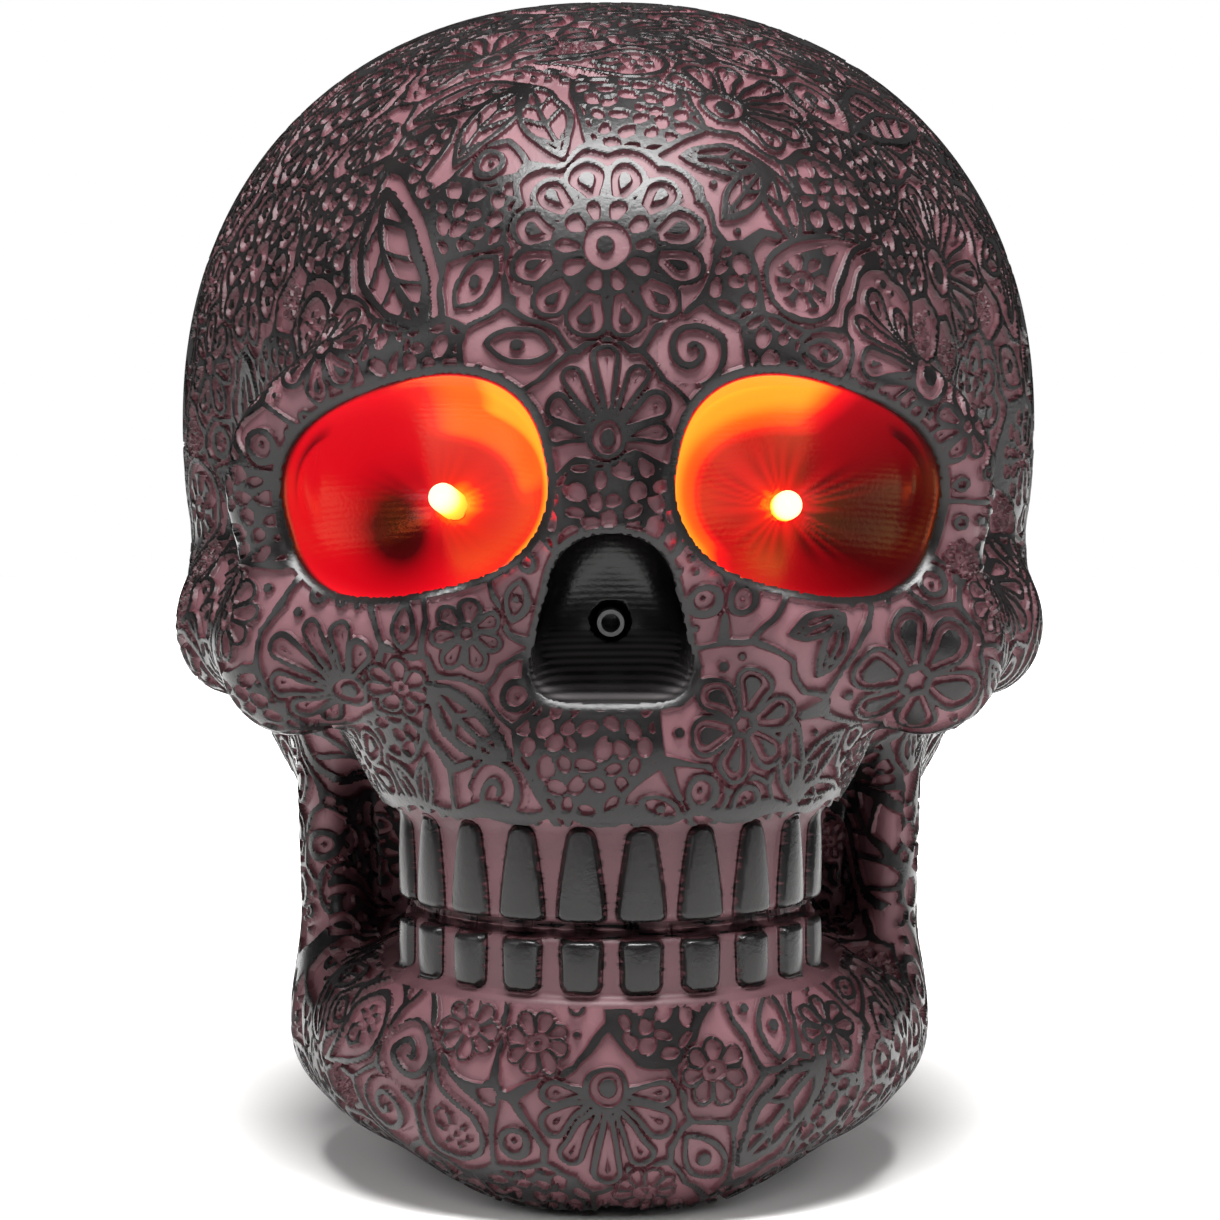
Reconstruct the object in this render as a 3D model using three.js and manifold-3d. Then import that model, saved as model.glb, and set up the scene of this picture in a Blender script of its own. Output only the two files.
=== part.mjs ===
// Light-up skull decoration: a hollow cast-resin skull with a red lamp in each eye socket, a light sensor
// in the nose, and a moulded base plate that carries the batteries, the switch and the circuit board.
// Millimetres, +Z up, the face looks along -Y, the origin is on the floor under the middle of the skull.
import * as THREE from "three";
import { mergeVertices } from "three/addons/utils/BufferGeometryUtils.js";
import Module from "manifold-3d";

const wasm = await Module();
wasm.setup();

// Clearances
const GAP = 0.3; // between pieces that seat on each other
const RUNNING = 0.5; // round a piece that moves or is driven in

// Bone forms. Those with an x in their centre stand on both sides.
const VAULT = { centre: [0, 15.4, 126], radii: [74.5, 70, 74], power: 2.2 };
const FOREHEAD = { centre: [0, -20, 139], radii: [57.5, 61, 56], power: 2.15, blend: 12 };
const MIDFACE = { centre: [0, -40, 102], radii: [48, 41, 48], power: 2, blend: 14 };
const TEMPLE_HOLLOW = { centre: [84, -43, 122], radii: [26, 32, 42], power: 2, blend: 7 };
const CHEEKBONE = { from: [30, -70, 98], to: [53, -56, 94], thick: [9, 11], flat: [1, 1, 1], blend: 10 };
const ARCH_BEND = [65.4, -14, 93.5];
const CHEEK_ARCH = { from: [54, -54, 93.5], to: ARCH_BEND, thick: [11, 8.5], flat: [0.75, 1, 1], blend: 8 };
const ARCH_ROOT = { from: ARCH_BEND, to: [65, 8, 96], thick: [8.5, 8.5], flat: [0.9, 1, 1], blend: 8 };
const NOSE_BRIDGE = { from: [0, -74, 134], to: [0, -82, 115], thick: [7, 6.5], flat: [1, 1, 1], blend: 12 };
const MAXILLA = { centre: [0, -48, 78], radii: [38, 36, 27], power: 2, blend: 10 };
const MASTOID = { centre: [46, 18, 84], radii: [13, 17, 21], power: 2, blend: 12 };
const JAW_BRANCH = { from: [47, -14, 24], to: [49.5, -6, 90], thick: [6.5, 6], flat: [0.8, 2, 1], blend: 7 };
const JAW_BODY = { centre: [0, -22, 24], radii: [52, 57, 22], power: 2.3, blend: 7 };
const JAW_FRONT = { centre: [0, -50, 27], radii: [38, 31, 18], power: 2, blend: 8 };
const CHIN = { centre: [0, -62, 15], radii: [27, 19, 16], power: 2, blend: 9 };
const JAW_WALL = { centre: [0, 6, 58], radii: [46, 30, 50], power: 2, blend: 8 };
const NECK = { centre: [0, 4], radii: [35, 41], low: -20, high: 100, edge: 8, power: 2, blend: 10 };

// Dental arch: gums above and below a recessed core that carries the teeth.
const ARCH_CENTRE_Y = -44;
const ARCH_RADII = [36.5, 39.5]; // at the face of the gums
const TOOTH_RECESS = 1.6; // depth of the core behind the gums
const UPPER_GUM = [68, 84]; // heights
const UPPER_TOOTH = [50.6, 67.2];
const LOWER_TOOTH = [39, 48.8];
const LOWER_GUM = [24, 38.5];
const GUM_EDGE = 4;
const CORE_EDGE = 1.5;
const TEETH_PER_SIDE = 5;
const FIRST_TOOTH_DEG = 8.2; // from the middle of the face
const TOOTH_PITCH_DEG = 16.8;
const TOOTH_WIDTH = 8.2;
const TOOTH_TAPER = 0.6; // width at the gum over the width at the biting edge
const TOOTH_STAND = 1.5; // how far a tooth stands out of the core
const TOOTH_BEVEL = 0.7;

// Eye sockets: a rounded-square mouth that narrows to the lamp. The left one is the right one mirrored.
const EYE_MOUTH = [33.2, -71, 121.7];
const EYE_HALF = [22.5, 16.9];
const EYE_DEPTH = 34;
const EYE_AXIS = [-3.2, 30, -5]; // from the mouth to the lamp
const EYE_ROLL_DEG = -12;
const EYE_POWER = 2.5;
const EYE_FLARE = 0.12; // widening of the mouth over EYE_REACH
const EYE_REACH = 22;
const EYE_RIM = { half: [25.5, 20], tube: 5, power: 2.3, blend: 11 };
const EYE_RIM_SET_BACK = 4.5;
const EYE_RIM_ACROSS = [0.94, 0.34, 0];
const EYE_RIM_UP = [-0.05, -0.16, 1];

// Nose opening
const NOSE_HEIGHTS = [87.5, 116.4];
const NOSE_HALF_WIDTHS = [15.2, 8.2];
const NOSE_CORNER = 5;
const NOSE_BACK_Y = -57;

// Raised ornament: its main motifs, placed by degrees round from the face and degrees up as seen from the
// skull's heart. Rows of them go on round the sides and the back.
const RELIEF = 1.2; // height of the motifs
const FACE_MOTIFS = [
  { around: 0, up: 42, radius: 17, form: "rosette", turn: 0 },
  { around: -30, up: 41, radius: 15, form: "leaf", turn: 126 },
  { around: 28, up: 41, radius: 15, form: "paisley", turn: 46 },
  { around: -70, up: 43, radius: 15, form: "rosette", turn: 12 },
  { around: 66, up: 44, radius: 14, form: "palmette", turn: 23 },
  { around: 0, up: 66, radius: 13, form: "paisley", turn: 200 },
  { around: 0, up: 26, radius: 10, form: "palmette", turn: 90 },
  { around: -69, up: 27, radius: 11, form: "leaf", turn: 109 },
  { around: 70, up: 28, radius: 12, form: "rosette", turn: 17 },
  { around: -36, up: -4, radius: 10, form: "palmette", turn: 149 },
  { around: 38, up: -5, radius: 11, form: "daisy", turn: 17 },
  { around: -17.5, up: -10.5, radius: 9, form: "leaf", turn: 137 },
  { around: 16, up: -10.5, radius: 9, form: "daisy", turn: 52 },
  { around: 0, up: -45, radius: 11, form: "palmette", turn: -90 },
  { around: -21.5, up: -46, radius: 11, form: "paisley", turn: 126 },
  { around: 21.5, up: -46, radius: 11, form: "leaf", turn: 52 },
];
const MOTIF_ROWS = [
  { up: 84, from: 180, step: 0, count: 1, radius: 16 },
  { up: 60, from: 72, step: 72, count: 4, radius: 16 },
  { up: 29, from: 102, step: 39, count: 5, radius: 16 },
  { up: -5, from: 112, step: 34, count: 5, radius: 13 },
  { up: -34, from: 130, step: 50, count: 3, radius: 12 },
];
const ROW_FORMS = ["rosette", "leaf", "daisy", "paisley"];
const ROW_TURN = 45; // from one motif of a row to the next

// Shell and its foot
const WALL = 5;
const PAD_HEIGHT = 1.5;
const PAD_RADIUS = 3;
const FOOT_CENTRE_Y = -8;
const FOOT_RADII = [34, 48];
const FOOT_HEIGHT = 22;
const FOOT_EDGE = 4;
const FOOT_POWER = 2.3;
const FOOT_RIM = 6.5; // width of the flat rim round the base opening
const FLOOR_TOP = 12; // underside of the hollow
const WELL_TOP = 36; // the base opening runs straight up to here
const SKIN_DETAIL = 12;
const HOLLOW_DETAIL = 4;
const SKULL_HEART = [0, -4, 98]; // point that the skin is drawn round
const FACE_BIAS = 0.35; // packs more of the skin's points into the face

// Base plate
const PLATE_RECESS = 1;
const PLATE_THICKNESS = 4.4;
const BOSS_RADIUS = 3.2;
const BASE_SCREWS = [[-22.5, -26], [22.5, -26], [-9, 28], [9, 28]];
const SCREW_SHANK_RADIUS = 1.3;
const SCREW_HEAD_RADIUS = 2.6;
const SCREW_HEAD_HEIGHT = 1.2;
const BASE_SCREW_LENGTH = 9.3; // head and shank

// Batteries and their bay
const CELL_RADIUS = 5.25;
const CELL_LENGTH = 43.7;
const NUB_RADIUS = 1.9;
const NUB_LENGTH = 0.8;
const CELL_PITCH = 11.2;
const CELL_COUNT = 3;
const SPRING_LENGTH = 4.1;
const SPRING_RADIUS = 3;
const SPRING_WIRE = 0.35;
const SPRING_TURNS = 3;
const CONTACT_THICKNESS = 0.5;
const CONTACT_WIDTH = 7;
const CONTACT_HEIGHT = 9;
const BAY_CENTRE_Y = -8.5;
const BAY_SIDE_ROOM = 0.3;
const BAY_WALL = 1.6;
const BAY_ROOF = 1.8;
const BAY_HEAD_ROOM = 0.75;

// Battery door
const DOOR_THICKNESS = 2.3;
const DOOR_LIP = 2.2; // overlap of the door on the plate round the bay
const TAB_X = 9;
const TAB_WIDTH = 6;
const TAB_REACH = 2.3;
const TAB_THICKNESS = 0.8;
const DOOR_TONGUE = [10, 6]; // width and length, for the screw
const DOOR_SCREW_LENGTH = 3.6; // shank above the door
const DOOR_BOSS_HEIGHT = 6;

// Slide switch
const SWITCH_Y = -43;
const SWITCH_BODY = [12, 6, 5.5];
const SWITCH_WALL = 1;
const KNOB = [3, 2.6];
const KNOB_SHOULDER = [5, 3.4, 2];
const SWITCH_TRAVEL = 4;
const KNOB_INSET = 0.5; // bottom of the knob above the underside of the plate

// Circuit board
const BOARD = [26, 37, 1.6];
const POST_RADIUS = 2.6;
const POST_HEIGHT = 4;
const POST_SPACING = 27;
const BOARD_SCREW_LENGTH = 5;
const CHIP = { place: [5, -10], radius: 4.5, height: 2 };

// Lamps and sensor
const LED_RADIUS = 2.5;
const LED_STAND = 5.6; // from the socket floor to the top of the straight side
const LED_SEAT_DEPTH = 3; // seat of the flange behind the socket floor
const LED_FLANGE = [2.95, 1];
const LED_LEAN_DEG = { left: 24, right: 0 }; // the left lamp was set crooked
const LED_OFF_CENTRE = { left: 3.4, right: 0 }; // towards the nose on the socket's floor
const SENSOR_Z = 98.6;
const SENSOR_RADII = [1.6, 2.3]; // bore and outside of the tube
const SENSOR_HOLE_RADIUS = 3.3;
const SENSOR_STAND = 2.5; // how far the tube stands out of the nose's back wall
const SENSOR_FLANGE = [4.2, 1.4];
const PHOTOCELL = [2, 2]; // radius, thickness
const LEAD_RADIUS = 0.9;

// Colours
function paint(color, roughness, metalness = 0) {
  return new THREE.MeshStandardMaterial({ color, roughness, metalness });
}

const RESIN = paint(0x2f2627, 0.42);
const BLACK_ABS = paint(0x1b1b1c, 0.5);
const RED_LENS = paint(0xff2a12, 0.15);
const STEEL = paint(0xb9bbbd, 0.35, 1);
const NICKEL = paint(0xc9c6bd, 0.3, 1);
const CELL_WRAP = paint(0x4a4d52, 0.35);
const BOARD_GREEN = paint(0x2c5a34, 0.55);
const EPOXY = paint(0x101011, 0.4);
const RED_PVC = paint(0x9c1f1c, 0.45);
const BLACK_PVC = paint(0x18181a, 0.45);
const FOAM = paint(0x222223, 0.9);

// Solids: geometry to a manifold-3d solid and back

function solid(geometry) {
  const bare = geometry.clone();
  bare.deleteAttribute("normal");
  bare.deleteAttribute("uv");
  const merged = mergeVertices(bare, 1e-4);
  const triVerts = new Uint32Array(merged.index.array);
  const vertProperties = new Float32Array(merged.attributes.position.array);
  return new wasm.Manifold(new wasm.Mesh({ numProp: 3, vertProperties, triVerts }));
}

function geometryOf(body) {
  const mesh = body.getMesh();
  const geometry = new THREE.BufferGeometry();
  geometry.setAttribute("position", new THREE.BufferAttribute(new Float32Array(mesh.vertProperties), 3));
  geometry.setIndex(new THREE.BufferAttribute(new Uint32Array(mesh.triVerts), 1));
  geometry.computeVertexNormals();
  return geometry;
}

const join = (bodies) => bodies.reduce((whole, body) => whole.add(body));

// A box between two corners.
function block([x0, y0, z0], [x1, y1, z1]) {
  const geometry = new THREE.BoxGeometry(x1 - x0, y1 - y0, z1 - z0);
  return geometry.translate((x0 + x1) / 2, (y0 + y1) / 2, (z0 + z1) / 2);
}

function turnFromY(way) {
  return new THREE.Quaternion().setFromUnitVectors(new THREE.Vector3(0, 1, 0), way.clone().normalize());
}

// A round bar from one point to another.
function bar(from, to, radius, sides = 24) {
  const a = new THREE.Vector3(...from);
  const along = new THREE.Vector3(...to).sub(a);
  const geometry = new THREE.CylinderGeometry(radius, radius, along.length(), sides);
  geometry.translate(0, along.length() / 2, 0);
  return geometry.applyQuaternion(turnFromY(along)).translate(a.x, a.y, a.z);
}

const upright = (x, y, low, high, radius, sides = 24) => bar([x, y, low], [x, y, high], radius, sides);

// A turned piece: profile points [radius, height along the axis], set on a point and an axis.
function turning(profile, place, axis, sides = 20) {
  const geometry = new THREE.LatheGeometry(profile.map(([r, h]) => new THREE.Vector2(r, h)), sides);
  return geometry.applyQuaternion(turnFromY(axis)).translate(place.x, place.y, place.z);
}

// Points of a superellipse, starting on the +X side.
function superellipse(halfX, halfY, power, count = 40) {
  const points = [];
  for (let i = 0; i < count; i++) {
    const t = (2 * Math.PI * i) / count;
    const bulge = (value) => Math.sign(value) * Math.abs(value) ** (2 / power);
    points.push([halfX * bulge(Math.cos(t)), halfY * bulge(Math.sin(t))]);
  }
  return points;
}

function outline(points) {
  return new THREE.Shape(points.map(([x, y]) => new THREE.Vector2(x, y)));
}

function footOutline(radii) {
  return outline(superellipse(...radii, FOOT_POWER).map(([x, y]) => [x, y + FOOT_CENTRE_Y]));
}

function slab(shape, low, high) {
  return new THREE.ExtrudeGeometry(shape, { depth: high - low, bevelEnabled: false }).translate(0, 0, low);
}

// A round lead along points, square to what it meets.
function leadGeometry(points, radius = LEAD_RADIUS, steps = 16, sides = 6) {
  const path = new THREE.CatmullRomCurve3(points.map((p) => new THREE.Vector3(...p)), false, "centripetal");
  const section = outline(superellipse(radius, radius, 2, sides));
  return new THREE.ExtrudeGeometry(section, { steps, bevelEnabled: false, extrudePath: path });
}

// Bone: distances to simple forms, joined with soft fillets

function softMin(a, b, blend) {
  const h = Math.max(blend - Math.abs(a - b), 0) / blend;
  return Math.min(a, b) - (h * h * blend) / 4;
}

const softMax = (a, b, blend) => -softMin(-a, -b, blend);

function lump([x, y, z], { centre, radii, power }) {
  const gauge = (value, i) => Math.abs((value - centre[i]) / radii[i]) ** power;
  const reach = (gauge(x, 0) + gauge(y, 1) + gauge(z, 2)) ** (1 / power);
  return (reach - 1) * Math.min(...radii);
}

function stick(point, { from, to, thick, flat }) {
  const q = point.map((value, i) => (value - from[i]) / flat[i]);
  const along = to.map((value, i) => (value - from[i]) / flat[i]);
  const dot = (a, b) => a[0] * b[0] + a[1] * b[1] + a[2] * b[2];
  const t = Math.min(Math.max(dot(q, along) / dot(along, along), 0), 1);
  const off = q.map((value, i) => value - t * along[i]);
  return (Math.sqrt(dot(off, off)) - thick[0] - (thick[1] - thick[0]) * t) * Math.min(...flat);
}

function drum([x, y, z], { centre, radii, low, high, edge, power }) {
  const wide = Math.abs((x - centre[0]) / radii[0]) ** power;
  const long = Math.abs((y - centre[1]) / radii[1]) ** power;
  const side = ((wide + long) ** (1 / power) - 1) * Math.min(...radii) + edge;
  const up = Math.abs(z - (low + high) / 2) - (high - low) / 2 + edge;
  return Math.min(Math.max(side, up), 0) + Math.hypot(Math.max(side, 0), Math.max(up, 0)) - edge;
}

const vector = (values) => new THREE.Vector3(...values);

// Directions of the right socket: across its mouth, up its mouth, and back to the lamp.
function eyeFrame() {
  const back = vector(EYE_AXIS).normalize();
  const side = new THREE.Vector3().crossVectors(back, new THREE.Vector3(0, 0, 1)).normalize();
  const up = new THREE.Vector3().crossVectors(side, back);
  const roll = THREE.MathUtils.degToRad(EYE_ROLL_DEG);
  const across = side.clone().multiplyScalar(Math.cos(roll)).addScaledVector(up, Math.sin(roll));
  const rise = up.clone().multiplyScalar(Math.cos(roll)).addScaledVector(side, -Math.sin(roll));
  return { across, rise, back };
}

const EYE = eyeFrame();

function socketDepth(point) {
  const q = vector(point).sub(vector(EYE_MOUTH));
  const axial = q.dot(EYE.back);
  const flare = 1 + EYE_FLARE * Math.min(Math.max(-axial / EYE_REACH, 0), 1);
  const wide = Math.abs(q.dot(EYE.across) / EYE_HALF[0] / flare) ** EYE_POWER;
  const high = Math.abs(q.dot(EYE.rise) / EYE_HALF[1] / flare) ** EYE_POWER;
  return (Math.hypot((wide + high) ** (1 / EYE_POWER), Math.max(axial, 0) / EYE_DEPTH) - 1) * EYE_HALF[1];
}

function eyeRim(point) {
  const across = vector(EYE_RIM_ACROSS).normalize();
  const up = vector(EYE_RIM_UP).addScaledVector(across, -vector(EYE_RIM_UP).dot(across)).normalize();
  const out = new THREE.Vector3().crossVectors(across, up);
  const q = vector(point).sub(vector(EYE_MOUTH).add(new THREE.Vector3(0, EYE_RIM_SET_BACK, 0)));
  const roll = THREE.MathUtils.degToRad(EYE_ROLL_DEG);
  const u = Math.cos(roll) * q.dot(across) + Math.sin(roll) * q.dot(up);
  const v = Math.cos(roll) * q.dot(up) - Math.sin(roll) * q.dot(across);
  const { half, power, tube } = EYE_RIM;
  const gauge = Math.abs(u / half[0]) ** power + Math.abs(v / half[1]) ** power;
  return Math.hypot((gauge ** (1 / power) - 1) * half[1], q.dot(out)) - tube;
}

const archDrum = ([low, high], recess, edge) => ({
  centre: [0, ARCH_CENTRE_Y],
  radii: ARCH_RADII.map((r) => r - recess),
  low,
  high,
  edge,
  power: 2,
});
const UPPER_GUM_DRUM = archDrum(UPPER_GUM, 0, GUM_EDGE);
const UPPER_CORE = archDrum([UPPER_TOOTH[0] + CORE_EDGE / 2, UPPER_GUM[1]], TOOTH_RECESS, CORE_EDGE);
const LOWER_CORE = archDrum([LOWER_GUM[0], LOWER_TOOTH[1] - CORE_EDGE / 2], TOOTH_RECESS, CORE_EDGE);
const LOWER_GUM_DRUM = archDrum(LOWER_GUM, 0, CORE_EDGE);
const FOOT = {
  centre: [0, FOOT_CENTRE_Y],
  radii: FOOT_RADII,
  low: PAD_HEIGHT,
  high: FOOT_HEIGHT,
  edge: FOOT_EDGE,
  power: FOOT_POWER,
};
const GUM_BLEND = 3;
const FOOT_BLEND = 5;

// Distance to the skull before its sockets and nose are cut.
function bone([x, y, z]) {
  const p = [Math.abs(x), y, z];
  let d = softMin(lump(p, VAULT), lump(p, FOREHEAD), FOREHEAD.blend);
  d = softMin(d, lump(p, MIDFACE), MIDFACE.blend);
  d = softMax(d, -lump(p, TEMPLE_HOLLOW), TEMPLE_HOLLOW.blend);
  d = softMin(d, eyeRim(p), EYE_RIM.blend);
  for (const form of [CHEEKBONE, CHEEK_ARCH, ARCH_ROOT, NOSE_BRIDGE]) {
    d = softMin(d, stick(p, form), form.blend);
  }
  d = softMin(d, lump(p, MAXILLA), MAXILLA.blend);
  d = softMin(d, drum(p, UPPER_GUM_DRUM), GUM_BLEND);
  d = softMin(d, drum(p, NECK), NECK.blend);
  d = softMin(d, stick(p, JAW_BRANCH), JAW_BRANCH.blend);
  for (const form of [JAW_WALL, MASTOID, JAW_BODY, JAW_FRONT, CHIN]) {
    d = softMin(d, lump(p, form), form.blend);
  }
  d = softMin(d, drum(p, LOWER_GUM_DRUM), GUM_BLEND);
  d = softMin(d, drum(p, FOOT), FOOT_BLEND);
  d = Math.min(d, drum(p, UPPER_CORE), drum(p, LOWER_CORE));
  return d;
}

function noseDepth([x, y, z]) {
  const share = (z - NOSE_HEIGHTS[0]) / (NOSE_HEIGHTS[1] - NOSE_HEIGHTS[0]);
  const half = THREE.MathUtils.lerp(NOSE_HALF_WIDTHS[0], NOSE_HALF_WIDTHS[1], share);
  return Math.max(Math.abs(x) - half, NOSE_HEIGHTS[0] - z, z - NOSE_HEIGHTS[1], y - NOSE_BACK_Y);
}

const skull = (p) => Math.max(bone(p), -socketDepth([Math.abs(p[0]), p[1], p[2]]), -noseDepth(p));

// Where a ray from SKULL_HEART meets a surface, coming from outside in or going from inside out.
function meeting(way, distance, inward) {
  const reach = 140;
  const pace = 0.6;
  const close = 0.01;
  const at = (r) => [SKULL_HEART[0] + way.x * r, SKULL_HEART[1] + way.y * r, SKULL_HEART[2] + way.z * r];
  let r = inward ? reach : 0;
  for (let step = 0; step < 400; step++) {
    const gap = inward ? distance(at(r)) : -distance(at(r));
    if (gap < close) break;
    r += (inward ? -1 : 1) * gap * pace;
  }
  return at(r);
}

// A ball of points drawn onto a surface round SKULL_HEART.
function wrapped(detail, distance, inward) {
  const geometry = mergeVertices(bareBall(detail), 1e-5);
  const place = geometry.attributes.position;
  for (let i = 0; i < place.count; i++) {
    const way = new THREE.Vector3().fromBufferAttribute(place, i);
    way.y -= FACE_BIAS;
    place.setXYZ(i, ...meeting(way.normalize(), distance, inward));
  }
  return geometry;
}

function bareBall(detail) {
  const ball = new THREE.IcosahedronGeometry(1, detail);
  ball.deleteAttribute("normal");
  ball.deleteAttribute("uv");
  return ball;
}

// Ornament: outlines for a radius of one, some with an eye left open in the middle

function flower(count, tip, notch) {
  const points = [];
  for (let i = 0; i < 2 * count; i++) {
    const t = (Math.PI * i) / count;
    const r = i % 2 ? notch : tip;
    points.push([r * Math.cos(t), r * Math.sin(t)]);
  }
  return points;
}

// A fan of pointed petals that opens along +X from a foot.
function fan(count, foot) {
  const points = [[foot, -0.2]];
  for (let i = 0; i < 2 * count - 1; i++) {
    const t = Math.PI * (i / (2 * count - 2) - 0.5);
    const r = (i % 2 ? 0.8 : 1.25) * (1 - 0.35 * Math.abs(Math.sin(t)));
    points.push([foot + 0.2 + r * Math.cos(t), r * Math.sin(t)]);
  }
  return [...points, [foot, 0.2]];
}

const FORMS = {
  rosette: { edge: flower(6, 0.96, 0.72), eye: superellipse(0.36, 0.36, 2, 5) },
  daisy: { edge: flower(5, 0.95, 0.55) },
  leaf: { edge: [[-0.97, 0.1], [-0.3, -0.32], [0.4, -0.3], [0.97, 0.12], [0.35, 0.36], [-0.35, 0.38]] },
  paisley: { edge: [[-0.88, 0], [-0.6, -0.45], [0, -0.45], [0.9, -0.7], [0.6, -0.1], [0, 0.4], [-0.6, 0.4]] },
  palmette: { edge: fan(4, -0.62) },
};

function rowMotifs(row, index) {
  return Array.from({ length: row.count }, (_, i) => ({
    around: row.from + i * row.step,
    up: row.up,
    radius: row.radius,
    form: ROW_FORMS[(index + i) % ROW_FORMS.length],
    turn: i * ROW_TURN,
  }));
}

function slope(field, point) {
  const step = 0.1;
  const along = (i) => {
    const ahead = point.map((value, k) => value + (k === i ? step : 0));
    const behind = point.map((value, k) => value - (k === i ? step : 0));
    return field(ahead) - field(behind);
  };
  return new THREE.Vector3(along(0), along(1), along(2)).normalize();
}

// A motif's outline as a stamp that stands square to the bone at its place.
function stamp({ around, up, radius, form, turn }) {
  const [a, e] = [THREE.MathUtils.degToRad(around), THREE.MathUtils.degToRad(up)];
  const way = new THREE.Vector3(Math.sin(a) * Math.cos(e), -Math.cos(a) * Math.cos(e), Math.sin(e));
  const spot = meeting(way, bone, true);
  const out = slope(bone, spot);
  const across = new THREE.Vector3(0, 0, 1).cross(out).normalize();
  const above = new THREE.Vector3().crossVectors(out, across);
  const sized = (points) => outline(points.map(([u, v]) => [u * radius, v * radius]));
  const shape = sized(FORMS[form].edge);
  if (FORMS[form].eye) shape.holes.push(sized(FORMS[form].eye));
  const geometry = slab(shape, -radius / 2, radius / 2).rotateZ(THREE.MathUtils.degToRad(turn));
  geometry.applyMatrix4(new THREE.Matrix4().makeBasis(across, above, out));
  return solid(geometry.translate(...spot));
}

// The motifs, stamped out of a skin that stands RELIEF proud of the bone.
function ornament() {
  const motifs = [...FACE_MOTIFS, ...MOTIF_ROWS.flatMap(rowMotifs)];
  const proud = solid(wrapped(SKIN_DETAIL, (p) => bone(p) - RELIEF, true));
  return proud.intersect(join(motifs.map(stamp)));
}

// Sockets, nose and teeth

function socketCut(mirror) {
  const profile = [];
  const rings = 7;
  for (let i = 0; i <= rings; i++) {
    const t = (Math.PI / 2) * (i / rings);
    profile.push(new THREE.Vector2(Math.sin(t), EYE_DEPTH * Math.cos(t)));
  }
  profile.push(new THREE.Vector2(1 + EYE_FLARE, -EYE_REACH), new THREE.Vector2(0, -EYE_REACH));
  const geometry = new THREE.LatheGeometry(profile.reverse(), 28);
  const place = geometry.attributes.position;
  for (let i = 0; i < place.count; i++) {
    const [u, axial, v] = [place.getX(i), place.getY(i), place.getZ(i)];
    const round = Math.hypot(u, v);
    const square = (Math.abs(u) ** EYE_POWER + Math.abs(v) ** EYE_POWER) ** (1 / EYE_POWER);
    const stretch = square > 0 ? round / square : 0;
    const spot = vector(EYE_MOUTH).addScaledVector(EYE.back, axial);
    spot.addScaledVector(EYE.across, u * stretch * EYE_HALF[0]);
    spot.addScaledVector(EYE.rise, -v * stretch * EYE_HALF[1]);
    place.setXYZ(i, spot.x, spot.y, spot.z);
  }
  return turnedOut(mirror ? geometry.scale(-1, 1, 1) : geometry);
}

// A closed solid whose faces point out, whichever way its source was wound.
function turnedOut(geometry) {
  const body = solid(geometry);
  if (body.volume() > 0) return body;
  const flipped = geometry.clone();
  const index = flipped.index.array;
  for (let i = 0; i < index.length; i += 3) [index[i + 1], index[i + 2]] = [index[i + 2], index[i + 1]];
  return solid(flipped);
}

function noseCut() {
  const [low, high] = NOSE_HEIGHTS;
  const [wide, narrow] = NOSE_HALF_WIDTHS;
  const sides = [[-wide, low], [wide, low], [narrow, high], [-narrow, high]];
  const corners = sides.map(([x, z]) => new THREE.Vector2(x, z));
  const shape = new THREE.Shape();
  corners.forEach((here, i) => {
    const toward = (other) => here.clone().add(other.clone().sub(here).setLength(NOSE_CORNER));
    const enter = toward(corners[(i + 3) % 4]);
    const leave = toward(corners[(i + 1) % 4]);
    if (i === 0) shape.moveTo(enter.x, enter.y);
    else shape.lineTo(enter.x, enter.y);
    shape.quadraticCurveTo(here.x, here.y, leave.x, leave.y);
  });
  const depth = 60;
  const geometry = new THREE.ExtrudeGeometry(shape, { depth, bevelEnabled: false, curveSegments: 4 });
  return solid(geometry.rotateX(Math.PI / 2).translate(0, NOSE_BACK_Y, 0));
}

// One tooth: a tombstone slab, wide at its biting edge, set on the dental arch.
function tooth(angleDeg, [low, high], bitesDown) {
  const height = high - low;
  const [bite, gum] = [TOOTH_WIDTH / 2 - TOOTH_BEVEL, (TOOTH_WIDTH * TOOTH_TAPER) / 2 - TOOTH_BEVEL];
  const rise = height / 2 - TOOTH_BEVEL;
  const shape = new THREE.Shape();
  shape.moveTo(-bite, -rise);
  shape.lineTo(bite, -rise);
  shape.lineTo(gum, rise);
  shape.lineTo(-gum, rise);
  const root = TOOTH_RECESS;
  const geometry = new THREE.ExtrudeGeometry(shape, {
    depth: root + TOOTH_STAND - TOOTH_BEVEL,
    bevelThickness: TOOTH_BEVEL,
    bevelSize: TOOTH_BEVEL,
    bevelSegments: 1,
  });
  geometry.translate(0, 0, -root);
  if (!bitesDown) geometry.rotateZ(Math.PI);
  const t = THREE.MathUtils.degToRad(angleDeg);
  const [a, b] = ARCH_RADII.map((r) => r - TOOTH_RECESS);
  const out = new THREE.Vector3(Math.sin(t) / a, -Math.cos(t) / b, 0).normalize();
  const up = new THREE.Vector3(0, 0, 1);
  const across = new THREE.Vector3().crossVectors(up, out);
  geometry.applyMatrix4(new THREE.Matrix4().makeBasis(across, up, out));
  geometry.translate(a * Math.sin(t), ARCH_CENTRE_Y - b * Math.cos(t), (low + high) / 2);
  return solid(geometry);
}

function teeth() {
  const row = [];
  for (let i = 0; i < TEETH_PER_SIDE; i++) {
    const angle = FIRST_TOOTH_DEG + i * TOOTH_PITCH_DEG;
    for (const side of [-1, 1]) {
      row.push(tooth(side * angle, UPPER_TOOTH, true));
      row.push(tooth(side * angle, LOWER_TOOTH, false));
    }
  }
  return row;
}

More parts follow.
